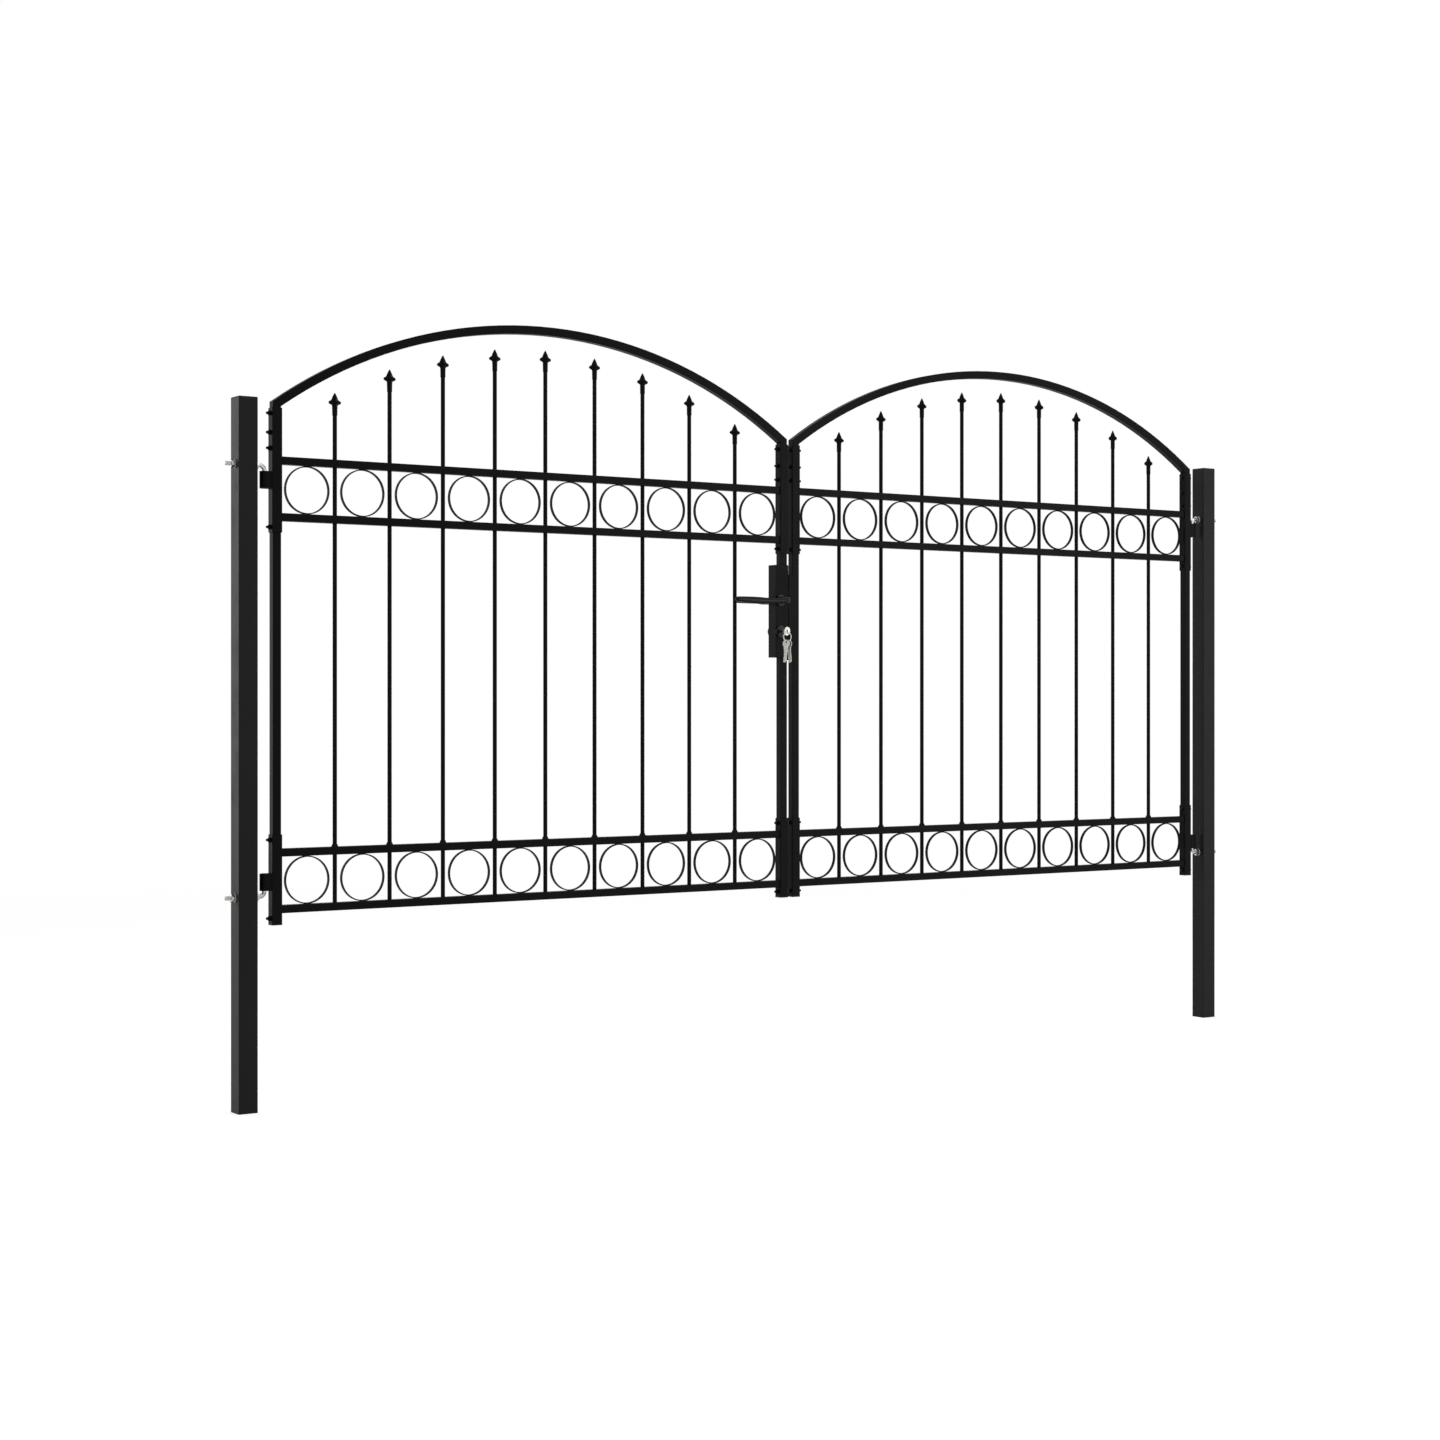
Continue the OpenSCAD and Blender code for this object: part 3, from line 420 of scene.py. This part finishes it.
class Form:  # one mesh piece in the making, drawn in millimetres
    def __init__(self):
        self.mesh = bmesh.new()

    def ring(self, points):
        return [self.mesh.verts.new(Vector(p) * mm) for p in points]

    def patch(self, corners):
        kept = []
        for corner in corners:
            if corner not in kept:
                kept.append(corner)
        if len(kept) > 2:
            self.mesh.faces.new(kept)

    def skin(self, rings, caps=True, looped=False):
        pairs = list(zip(rings, rings[1:]))
        if looped:
            pairs.append((rings[-1], rings[0]))
        for low, high in pairs:
            count = max(len(low), len(high))
            for i in range(count):
                j = (i + 1) % count
                self.patch([low[i % len(low)], low[j % len(low)],
                            high[j % len(high)], high[i % len(high)]])
        if caps and not looped:
            for end in (rings[0], rings[-1]):
                self.patch(end)

    def lathe(self, profile, seat, steps, looped=False):
        rings = []
        for radius, height in profile:
            count = steps if radius > 1e-6 else 1
            turns = [2 * math.pi * i / steps for i in range(count)]
            rings.append(self.ring([
                seat @ Vector((radius * math.cos(a), radius * math.sin(a), height))
                for a in turns]))
        self.skin(rings, looped=looped)

    # Flat outlines, the later ones holes, made thick along local Z
    def plate(self, outlines, seat, thick):
        ends = []
        for height in (-thick / 2, thick / 2):
            loops = [self.ring([seat @ Vector((x, y, height)) for x, y in outline])
                     for outline in outlines]
            edges = []
            for loop in loops:
                for i, vert in enumerate(loop):
                    edges.append(self.mesh.edges.new((vert, loop[(i + 1) % len(loop)])))
            bmesh.ops.triangle_fill(self.mesh, edges=edges, use_beauty=True)
            ends.append(loops)
        for low, high in zip(*ends):
            self.skin([low, high], caps=False)

    def done(self, name, body, slot, replaced=(), smooth=38, soften=0.0):
        bmesh.ops.recalc_face_normals(self.mesh, faces=self.mesh.faces)
        data = bpy.data.meshes.new(name)
        self.mesh.to_mesh(data)
        self.mesh.free()
        data.shade_smooth()
        data.set_sharp_from_angle(angle=math.radians(smooth))
        data.materials.append(finishes[slot])
        piece = bpy.data.objects.new(name, data)
        scene.collection.objects.link(piece)
        if soften:
            softEdge(piece, soften)
        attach(piece, body)
        if replaced:
            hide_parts(*replaced)
        return piece


def threadDip(turn, along, pitch, depth):
    share = (along / pitch + turn / (2 * math.pi)) % 1.0
    return depth * (1 - abs(2 * share - 1)) ** 1.2


# Hex nut with a chamfer on both faces, standing on the seat
def addNut(form, seat, across, height, bore, steps=48):
    face = across / 2 * 0.955
    low, high = [], []
    for i in range(steps):
        turn = 2 * math.pi * i / steps
        rim = across / 2 / math.cos((turn + math.pi / 6) % (math.pi / 3) - math.pi / 6)
        drop = (rim - face) * math.tan(math.radians(30))
        low.append((turn, rim, drop))
        high.append((turn, rim, height - drop))

    def circle(radius, level):
        return form.ring([seat @ Vector((radius * math.cos(t), radius * math.sin(t), level))
                          for t, _, _ in low])

    def rims(rows):
        return form.ring([seat @ Vector((r * math.cos(t), r * math.sin(t), h))
                          for t, r, h in rows])

    lead = 0.6
    form.skin([circle(bore / 2, lead), circle(bore / 2 + lead, 0), circle(face, 0), rims(low),
               rims(high), circle(face, height), circle(bore / 2 + lead, height),
               circle(bore / 2, height - lead)], looped=True)


# Bent hinge rods: threaded outer end, quarter bend, plain pin
hingeLook = {
    "rod": 10.0, "bend": 12.5, "bendSteps": 8, "pitch": 1.5, "depth": 0.82,
    "threadLength": 27.0, "threadFade": 2.0, "leadIn": 1.2, "pinShort": 1.0, "pinLead": 0.8,
    "nutAcross": 17.0, "nutHigh": 8.0, "nutBite": 0.6, "nutTurn": 24, "washer": 20.0,
    "washerThick": 2.0, "washerEdge": 0.4, "washerPlay": 0.15, "steps": 24, "blockHigh": 38.5,
}


def hingeRods():
    said = hingeLook
    form = Form()
    radius, bend, steps = said["rod"] / 2, said["bend"], said["steps"]
    outerEnd = span("hinge_bolts", 0)[1]
    low, high = span("hinge_bolts", 2)
    pinX = abs(jointPlace("left_leaf_swing")[0])
    pinLong = {1: span("left_hinge_blocks", 2)[0], -1: span("left_hinge_blocks", 2)[1]}
    for side in gate["sides"].values():
        for way, level in ((1, low + radius), (-1, high - radius)):
            rings = []

            def station(x, z, aimX, aimZ, dip=None, shrink=0.0):
                points = []
                for i in range(steps):
                    turn = 2 * math.pi * i / steps
                    r = radius - shrink - (dip(turn) if dip else 0)
                    across = r * math.cos(turn)
                    points.append((side * (x + across * aimZ), r * math.sin(turn), z - across * aimX))
                rings.append(form.ring(points))

            count = int(said["threadLength"] / (said["pitch"] / 6))
            for i in range(count + 1):
                along = said["threadLength"] * i / count
                fade = min(1.0, (said["threadLength"] - along) / said["threadFade"])
                lead = max(0.0, said["leadIn"] - along)
                depth = said["depth"] * fade
                station(outerEnd - along, level, -1, 0,
                        lambda turn: threadDip(-side * turn, along, said["pitch"], depth), lead)
            bendX = pinX + bend
            station(bendX, level, -1, 0)
            for i in range(1, said["bendSteps"] + 1):
                a = math.pi / 2 * i / said["bendSteps"]
                station(pinX + bend * (1 - math.sin(a)), level + way * bend * (1 - math.cos(a)),
                        -math.cos(a), way * math.sin(a))
            pinEnd = pinLong[way] + way * (said["blockHigh"] - said["pinShort"])
            station(pinX, pinEnd - way * said["pinLead"], 0, way)
            station(pinX, pinEnd, 0, way, None, said["pinLead"])
            form.skin(rings)
    form.done("hinge_rods", "posts", "zinc", ["hinge_bolts"])


def hingeNutsAndWashers():
    said = hingeLook
    nuts, washers = Form(), Form()
    radius = said["rod"] / 2
    low, high = span("hinge_bolts", 2)
    outer, inner = span("right_post_lower", 0)[1], span("right_post_lower", 0)[0]
    edge, thick = said["washerEdge"], said["washerThick"]
    big, bore = said["washer"] / 2, radius + said["washerPlay"]
    profile = [(bore, 0.0), (big - edge, 0.0), (big, edge), (big, thick - edge),
               (big - edge, thick), (bore, thick)]
    for side in gate["sides"].values():
        for level in (low + radius, high - radius):
            for face, way in ((outer, 1), (inner, -1)):
                aim = (side * way, 0, 0)
                washers.lathe(profile, seatAt((side * face, 0, level), aim), 48, looped=True)
                turn = math.radians(dice.uniform(-said["nutTurn"], said["nutTurn"]))
                addNut(nuts, seatAt((side * (face + way * thick), 0, level), aim, turn),
                       said["nutAcross"], said["nutHigh"], said["rod"] - said["nutBite"])
    nuts.done("hex_nuts", "posts", "zinc", ["hinge_nuts"])
    washers.done("flat_washers", "posts", "zinc", ["hinge_washers"])


hingeRods()
hingeNutsAndWashers()
print("hinge hardware made")


# Cast spear tips: four wings that droop to rounded lobes, on a socket over the bar
tipLook = {
    "high": 31.0, "socket": 20.0, "socketR": 5.9, "boreR": 5.15, "boreDeep": 17.0, "drop": 140.0,
    # height, reach of the wings, radius of the core, half thickness of the wings
    "shape": [
        (0.0, 5.9, 5.9, 2.4), (1.2, 6.1, 5.9, 2.4), (2.6, 7.0, 5.9, 2.4), (3.8, 8.9, 5.9, 2.3),
        (4.7, 11.0, 6.0, 2.2), (5.4, 12.8, 6.0, 2.2), (6.3, 14.3, 6.1, 2.3),
        (7.4, 15.1, 6.2, 2.4), (8.6, 15.4, 6.3, 2.5),
        (10.0, 15.2, 6.4, 2.5), (11.2, 14.5, 6.4, 2.4), (12.3, 13.2, 6.3, 2.2), (13.2, 11.4, 6.2, 2.0),
        (14.2, 9.6, 6.0, 1.8), (15.4, 8.4, 5.8, 1.7), (17.0, 7.6, 5.4, 1.6), (19.0, 6.9, 4.8, 1.5),
        (21.5, 5.8, 4.0, 1.3), (24.5, 4.3, 3.0, 1.0), (27.5, 2.7, 1.9, 0.7), (29.6, 1.5, 1.1, 0.5),
        (30.7, 0.7, 0.6, 0.3),
    ],
    "turns": (-45, -31, -21, -14, -9, -5, 0, 5, 9, 14, 21, 31),
}


def tipRadius(off, reach, core, half):
    wing = ((1 / reach) ** 4 + (abs(math.sin(off)) / half) ** 4) ** -0.25
    return (core ** 7 + wing ** 7) ** (1 / 7) if wing > core * 0.6 else core


def addTip(form, x, top):
    said = tipLook
    foot = top - said["high"]
    turns = [math.radians(quarter * 90 + step) for quarter in range(4) for step in said["turns"]]
    offs = [math.radians(step) for _ in range(4) for step in said["turns"]]

    def circle(radius, level):
        return form.ring([(x + radius * math.cos(t), radius * math.sin(t), level)
                          for t in turns])

    base = foot - said["socket"]
    rings = [circle(said["boreR"], base + said["boreDeep"]), circle(said["boreR"], base + 0.4),
             circle(said["boreR"] + 0.35, base), circle(said["socketR"] - 0.1, base),
             circle(said["socketR"] + 0.15, base + 0.5), circle(said["socketR"] + 0.15, base + 2.2),
             circle(said["socketR"], base + 2.9)]
    for height, reach, core, half in said["shape"]:
        radii = [tipRadius(off, reach, core, half) for off in offs]
        rings.append(form.ring([(x + r * math.cos(t), r * math.sin(t), foot + height)
                                for t, r in zip(turns, radii)]))
    rings.append(form.ring([(x, 0, top)]))
    form.skin(rings)


def spearTips(name):
    said = tipLook
    form = Form()
    centre = middle(name + "_arch", 0)
    top = span(name + "_spear_tips", 2)[1]
    reach = (gate["barCount"] - 1) / 2 * gate["barPitch"]
    arc = (reach ** 2 + said["drop"] ** 2) / (2 * said["drop"])
    for i in range(gate["barCount"]):
        x = i * gate["barPitch"] - reach
        addTip(form, centre + x, top - arc + math.sqrt(arc ** 2 - x ** 2))
    form.done(name + "_cast_tips", name + "_leaf", "coat", [name + "_spear_tips"], smooth=50)


for leafName in gate["sides"]:
    spearTips(leafName)
print("spear tips made")


# Bolts through the sleeves: low domed heads, chamfered nuts and short threaded tails
jointLook = {
    "bolt": 6.0, "pitch": 1.0, "depth": 0.55, "head": 12.0, "headHigh": 4.0, "rim": 0.5,
    "domeSteps": 6, "nutAcross": 10.0, "nutHigh": 5.0, "nutBite": 0.5, "nutTurn": 30,
    "tail": 5.0, "leadIn": 0.8, "steps": 20, "inset": 12, "legPitch": 43, "legTail": 16,
    "stileBreak": 4, "stileInset": 15,
}


def addJointBolt(form, nuts, place, hand):
    said = jointLook
    edge = gate["sleeve"] / 2
    x, z = place
    head = said["head"] / 2
    seat = seatAt((x + edge, 0, z), (1, 0, 0))
    rim, domeSteps, steps = said["rim"], said["domeSteps"], said["steps"]
    dome = [(head - rim, 0.0), (head, rim)]
    for i in range(1, domeSteps + 1):
        a = math.pi / 2 * i / domeSteps
        dome.append((head * math.cos(a) if i < domeSteps else 0.0,
                     rim + (said["headHigh"] - rim) * math.sin(a)))
    form.lathe(dome, seat, 28)
    rings = []
    long = said["nutHigh"] + said["tail"]
    rows = int(long / (said["pitch"] / 5))
    for i in range(rows + 1):
        along = long * i / rows
        lead = max(0.0, along - (long - said["leadIn"]))
        points = []
        for k in range(steps):
            turn = 2 * math.pi * k / steps
            r = said["bolt"] / 2 - lead - threadDip(hand * turn, along, said["pitch"], said["depth"])
            points.append((x - edge - along, r * math.cos(turn), z + r * math.sin(turn)))
        rings.append(form.ring(points))
    form.skin(rings)
    turn = math.radians(dice.uniform(-said["nutTurn"], said["nutTurn"]))
    addNut(nuts, seatAt((x - edge, 0, z), (-1, 0, 0), turn),
           said["nutAcross"], said["nutHigh"], said["bolt"] - said["nutBite"], 36)


def jointBolts(name):
    said = jointLook
    side = gate["sides"][name]
    bolts, nuts = Form(), Form()
    arch = [abs(value) for value in span(name + "_arch", 0)]
    inner, outer = min(arch), max(arch)
    stile = gate["stile"]
    upper, lower = span(name + "_upper_sleeves", 2), span(name + "_lower_sleeves", 2)
    inset = said["inset"]
    legBolt = upper[1] - inset - said["legPitch"]
    stileBolt = legBolt - said["legTail"] - said["stileBreak"] - said["stileInset"]
    levels = (upper[1] - inset, legBolt, stileBolt, upper[0] + inset,
              lower[1] - inset, lower[0] + inset)
    for z in levels:
        for x in (outer - stile / 2, inner + stile / 2):
            # drawn as on the left leaf; the right one is its mirror image with its threads turned back
            addJointBolt(bolts, nuts, (-x, z), -side)
    if side > 0:
        for form in (bolts, nuts):
            bmesh.ops.scale(form.mesh, verts=form.mesh.verts, vec=(-1, 1, 1))
    bolts.done(name + "_round_head_bolts", name + "_leaf", "coat", [name + "_joint_bolts"])
    nuts.done(name + "_small_nuts", name + "_leaf", "coat", [name + "_joint_nuts"])


for leafName in gate["sides"]:
    jointBolts(leafName)
print("joint bolts made")


# Levers: a round neck that bends into a flattened arm, thickest a little past its middle
leverLook = {
    "neck": 9.0, "neckEdge": 0.5, "neckStops": (24, 34), "arm": 6.0, "face": 57.9,
    "elbow": 10.0, "start": 15.8, "tip": 8.0, "tipRound": 0.8, "tipEnd": 0.04,
    "steps": 36, "elbowSteps": 8, "armSteps": 24, "tipSteps": 7,
    "long": {"front": 162.0, "back": 96.0},
    # share of the arm's length, lift, half height, half depth, squareness
    "front": [(0.0, -0.9, 8.5, 6.0, 2.1), (0.10, -2.3, 7.3, 5.95, 2.3),
              (0.22, -3.3, 6.6, 5.8, 2.5), (0.40, -3.6, 7.7, 5.7, 2.6),
              (0.57, -3.4, 8.8, 5.7, 2.6), (0.72, -2.8, 8.6, 5.6, 2.6),
              (0.86, -2.1, 7.8, 5.4, 2.5), (1.0, -1.3, 6.7, 5.2, 2.4)],
    "back": [(0.0, 0.0, 8.4, 6.0, 2.1), (0.2, 0.0, 6.9, 5.8, 2.4), (0.5, 0.0, 7.0, 5.7, 2.6),
             (0.8, 0.0, 6.8, 5.5, 2.6), (1.0, 0.0, 6.2, 5.2, 2.4)],
}


def between(rows, share):  # the last row stands at share 1
    for low, high in zip(rows, rows[1:]):
        if share <= high[0]:
            t = (share - low[0]) / (high[0] - low[0])
            t = t * t * (3 - 2 * t)
            return [a + (b - a) * t for a, b in zip(low[1:], high[1:])]


def lever(name, node, way, kind):
    said = leverLook
    shape, long = said[kind], said["long"][kind]
    form = Form()
    spindleX, _, spindleZ = jointPlace("lever_press")
    elbow, faceY = said["elbow"], said["face"] - said["arm"]
    rings = []

    def station(x, y, aimX, aimY, lift, tall, deep, square):
        points = []
        for i in range(said["steps"]):
            turn = 2 * math.pi * i / said["steps"]
            c, s = math.cos(turn), math.sin(turn)
            across = deep * math.copysign(abs(c) ** (2 / square), c)
            up = tall * math.copysign(abs(s) ** (2 / square), s)
            points.append((spindleX + x - across * aimY, way * (y + across * aimX),
                           spindleZ + lift + up))
        rings.append(form.ring(points))

    neck, edge = said["neck"], said["neckEdge"]
    station(0, said["start"], 0, 1, 0, neck - edge, neck - edge, 2)
    for y in (said["start"] + edge, *said["neckStops"], faceY - elbow):
        station(0, y, 0, 1, 0, neck, neck, 2)
    for i in range(1, said["elbowSteps"] + 1):
        a = math.pi / 2 * i / said["elbowSteps"]
        t = i / said["elbowSteps"]
        lift, tall, deep, square = shape[0][1:]
        station(-elbow * (1 - math.cos(a)), faceY - elbow * (1 - math.sin(a)),
                -math.sin(a), math.cos(a), lift * t, neck + (tall - neck) * t,
                neck + (deep - neck) * t, 2 + (square - 2) * t)
    armLong, armSteps = long - elbow - said["tip"], said["armSteps"]
    for i in range(1, armSteps + 1):
        lift, tall, deep, square = between(shape, i / armSteps)
        station(-elbow - armLong * i / armSteps, faceY, -1, 0, lift, tall, deep, square)
    for i in range(1, said["tipSteps"] + 1):
        a = math.pi / 2 * i / said["tipSteps"]
        c = max(math.cos(a) ** said["tipRound"], said["tipEnd"])
        station(-elbow - armLong - said["tip"] * math.sin(a), faceY, -1, 0,
                lift, tall * c, deep * c, square)
    form.skin(rings)
    form.done(name, "lever", "lever_coat", [node], smooth=60)


lever("front_lever", "lever_front", -1, "front")
lever("back_lever", "lever_back", 1, "back")
print("levers made")


# Keys: flat plates with a round bow and, on the spare ones, a cut blade
keyLook = {
    "thick": 2.2, "blade": 7.6, "bow": 22.0, "hole": 8.0, "reach": 46.0, "tailLong": 1.5,
    "spareBow": 20.0, "spareHole": 6.0, "spareLong": 58.0, "spareBlade": 9.5, "holeEdge": 2,
    "fan": 6.0, "twist": 20.0, "hang": 1.1, "flare": 1.2, "bowSteps": 40,
    "cuts": (1.2, 2.3, 0.8, 1.9, 2.6, 1.1, 1.7), "cutPitch": 3.6, "soften": 0.22,
}
# The ring is a wire of two turns that steps aside where they meet; angles in degrees
coilLook = {
    "inner": 10.8, "wire": 1.5, "from": 15, "sweep": 690, "rows": 140, "stepFrom": 346,
    "stepLong": 28, "lay": 60, "thin": 0.03, "corner": 0.35,
}


# Outline with the bow's middle at the origin and the blade towards -Y, as long as bladeEnd says
def keyOutline(bowR, bladeEnd, blade, cut):
    half = blade / 2
    points = []
    flare, bowSteps = keyLook["flare"], keyLook["bowSteps"]
    neck = math.asin((half + flare) / bowR)
    for i in range(bowSteps + 1):
        a = -math.pi / 2 + neck + (2 * math.pi - 2 * neck) * i / bowSteps
        points.append((bowR * math.cos(a), bowR * math.sin(a)))
    shoulder = -bowR - 2.2
    points += [(-half - flare, shoulder), (-half, shoulder - 1.0), (-half, -bladeEnd + half * 0.8),
               (-half * 0.25, -bladeEnd), (half * 0.35, -bladeEnd)]
    y = -bladeEnd + 2.6
    points.append((half - 1.4, y - 0.9))
    if cut:
        for deep in keyLook["cuts"]:
            points += [(half - deep, y + 0.5), (half - deep, y + 1.6), (half - 0.5, y + 2.7)]
            y += keyLook["cutPitch"]
    points += [(half, y + 1.2), (half, shoulder - 1.0), (half + flare, shoulder)]
    return points


def hole(radius, cy, steps=28):
    turns = [-2 * math.pi * i / steps for i in range(steps)]
    return [(radius * math.cos(t), cy + radius * math.sin(t)) for t in turns]


def insertedKey():
    said = keyLook
    x, _, z = jointPlace("key_turn")
    # local X runs up, local Y runs out of the lock, the plate's thickness lies along the gate
    seat = Matrix(((0, 0, 1, x), (0, -1, 0, -said["reach"]), (1, 0, 0, z), (0, 0, 0, 1)))
    form = Form()
    outline = keyOutline(said["bow"] / 2, said["reach"] + said["tailLong"], said["blade"], False)
    form.plate([outline, hole(said["hole"] / 2, 0)], seat, said["thick"])
    form.done("inserted_key", "key", "nickel", ["key"], smooth=30, soften=said["soften"])


def spareKey(name, node, side):
    said = keyLook
    x, y, z = jointPlace(node + "_hang")
    form = Form()
    turn = Matrix.Rotation(math.radians(-side * said["fan"]), 4, "Y")
    twist = Matrix.Rotation(math.radians(said["twist"]), 4, "Z")
    drop = said["spareBow"] / 2 - said["spareHole"] / 2 - said["holeEdge"]
    hang = Matrix.Translation((0, 0, -said["hang"] - drop))
    lie = Matrix(((0, 0, 1, 0), (1, 0, 0, 0), (0, 1, 0, 0), (0, 0, 0, 1)))
    seat = Matrix.Translation((x, y, z)) @ turn @ twist @ hang @ lie
    bowR = said["spareBow"] / 2
    outline = keyOutline(bowR, said["spareLong"] - bowR, said["spareBlade"], True)
    form.plate([outline, hole(said["spareHole"] / 2, drop)], seat, said["thick"])
    form.done(name, node.replace("spare_", ""), "nickel", [node], smooth=30, soften=said["soften"])


def splitRing():
    said = coilLook
    form = Form()
    x, y = jointPlace("key_turn")[0], -keyLook["reach"]
    z = middle("key_ring", 2)
    wire = said["wire"]
    mid = said["inner"] + wire / 2
    half = wire / 2 - said["thin"]
    small = half - said["corner"]
    section = [(half, -small), (half, small), (small, half), (-small, half),
               (-half, small), (-half, -small), (-small, -half), (small, -half)]
    rings = []
    for i in range(said["rows"] + 1):
        turn = said["from"] + said["sweep"] * i / said["rows"]
        jog = min(max((turn - said["stepFrom"]) / said["stepLong"], 0), 1)
        shift = -wire / 2 + wire * jog * jog * (3 - 2 * jog)
        a = math.radians(turn + said["lay"])
        rings.append(form.ring([
            (x + (mid + r) * math.cos(a), y + shift + w, z + (mid + r) * math.sin(a))
            for r, w in section]))
    form.skin(rings)
    form.done("split_ring", "ring", "nickel", ["key_ring"], smooth=50)


insertedKey()
spareKey("spare_key_one", "spare_key_a", -1)
spareKey("spare_key_two", "spare_key_b", 1)
splitRing()
print("keys made")


# Weld beads: short rippled fillets where tubes meet
weldLook = {
    "radius": 1.3, "ripple": 0.28, "pitch": 2.2, "sides": 7, "mitreDrop": 15.3, "mitreIn": 0.2,
    "mitreHalf": 8.5, "mitreThin": 0.9, "ringHalf": 6, "ringDepth": 3.6, "ringIn": 0.6,
    "ringThin": 0.8, "railIn": 0.6, "railPlay": 0.1, "blockOut": 0.4, "blockDepth": 10.2,
    "blockShort": 1, "blockFat": 1.25,
}


def addBead(form, start, end, radius):
    said = weldLook
    start, end = Vector(start), Vector(end)
    along = end - start
    long = along.length
    seat = seatAt(start, along)
    rows = max(4, int(long / (said["pitch"] / 3)))
    profile = []
    for i in range(rows + 1):
        t = i / rows
        fade = math.sqrt(max(0.0, 1 - abs(2 * t - 1) ** 6))
        wave = said["ripple"] * abs(math.sin(math.pi * t * long / said["pitch"]))
        profile.append((max(radius * fade - wave * fade, 0.0), long * t))
    form.lathe(profile, seat, said["sides"])


def leafWelds(name):
    form = Form()
    said = weldLook
    centre = middle(name + "_arch", 0)
    railHalf = gate["rail"] / 2
    radius = said["radius"]
    for band in ("upper", "lower"):
        z = middle(f"{name}_{band}_rings", 2)
        low, high = span(f"{name}_{band}_rings", 2)
        ringIn = said["ringIn"]
        # each ring at the rails above and below it
        for i in range(gate["barCount"] + 1):
            x = centre + (i - gate["barCount"] / 2) * gate["barPitch"]
            for level in (high - ringIn, low + ringIn):
                for depth in (-said["ringDepth"], said["ringDepth"]):
                    addBead(form, (x - said["ringHalf"], depth, level),
                            (x + said["ringHalf"], depth, level), radius * said["ringThin"])
        # each rail's end at the sleeve
        left, right = span(f"{name}_{band}_rails", 0)
        step = gate["ring"] / 2 + railHalf + said["railPlay"]
        reach = railHalf - said["railIn"]
        for railZ in (z - step, z + step):
            for x in (left, right):
                corners = [(x, a * reach, railZ + b * reach)
                           for a, b in ((-1, -1), (1, -1), (1, 1), (-1, 1))]
                for a, b in zip(corners, corners[1:] + corners[:1]):
                    addBead(form, a, b, radius)
    # arch mitres, on the inner edge
    mitre = span(name + "_post_cap", 2)[1] - said["mitreDrop"]
    archLow, archHigh = span(name + "_arch", 0)
    inside, mitreHalf = gate["stile"] + said["mitreIn"], said["mitreHalf"]
    for x in (archLow + inside, archHigh - inside):
        addBead(form, (x, -mitreHalf, mitre), (x, mitreHalf, mitre), radius * said["mitreThin"])
    # hinge blocks at the sleeves
    side = gate["sides"][name]
    blockLow, blockTop = span(name + "_hinge_blocks", 2)
    blockHigh, short = hingeLook["blockHigh"], said["blockShort"]
    edge = max(abs(v) for v in span(name + "_upper_sleeves", 0)) + said["blockOut"]
    for low in (blockLow, blockTop - blockHigh):
        for depth in (-said["blockDepth"], said["blockDepth"]):
            addBead(form, (side * edge, depth, low + short),
                    (side * edge, depth, low + blockHigh - short), radius * said["blockFat"])
    form.done(name + "_weld_beads", name + "_leaf", "coat", smooth=70)


def lockWelds():
    said = weldLook
    form = Form()
    low, high = span("lock_case", 2)
    free = span("lock_case", 0)[1]
    half = gate["stile"] / 2
    # the two ends of the free stile on the lock case
    for z in (low - 0.4, high + 0.4):
        corners = [(free - 1, -half), (free - gate["stile"], -half),
                   (free - gate["stile"], half), (free - 1, half)]
        for a, b in zip(corners, corners[1:]):
            addBead(form, (*a, z), (*b, z), said["radius"])
    form.done("lock_weld_beads", "left_leaf", "coat", smooth=70)


def strikeWelds():
    form = Form()
    low, high = span("strike_channel", 2)
    back = span("strike_channel", 0)[1]
    for share in (0.04, 0.31, 0.58, 0.85):
        z = low + (high - low) * share
        for depth in (-1, 1):
            place = (back + 0.5, depth * (gate["stile"] / 2 + 0.4))
            addBead(form, (*place, z), (*place, z + 24), weldLook["radius"])
    form.done("strike_weld_beads", "right_leaf", "coat", smooth=70)


for leafName in gate["sides"]:
    leafWelds(leafName)
lockWelds()
strikeWelds()
print("weld beads made")


# Screws that hold the faceplate: low heads with a round socket
screwLook = {"radius": 3.4, "high": 0.9, "socket": 1.5, "inset": 11.0, "turns": (12, 41)}


def faceplateScrews():
    said = screwLook
    form = Form()
    low, high = span("lock_faceplate", 2)
    face = span("lock_faceplate", 0)[1]
    radius, top, socket = said["radius"], said["high"], said["socket"]
    for z, turn in zip((low + said["inset"], high - said["inset"]), said["turns"]):
        seat = seatAt((face, 0, z), (1, 0, 0), math.radians(turn))
        form.lathe([(0.0, 0.05), (radius, 0.05), (radius, top * 0.45), (radius - 0.5, top),
                    (socket + 0.15, top), (socket, top - 0.15), (socket, 0.2), (0.0, 0.2)],
                   seat, 24)
    form.done("faceplate_screws", "left_leaf", "zinc", smooth=35)


faceplateScrews()
print("faceplate screws made")


# Closing lines
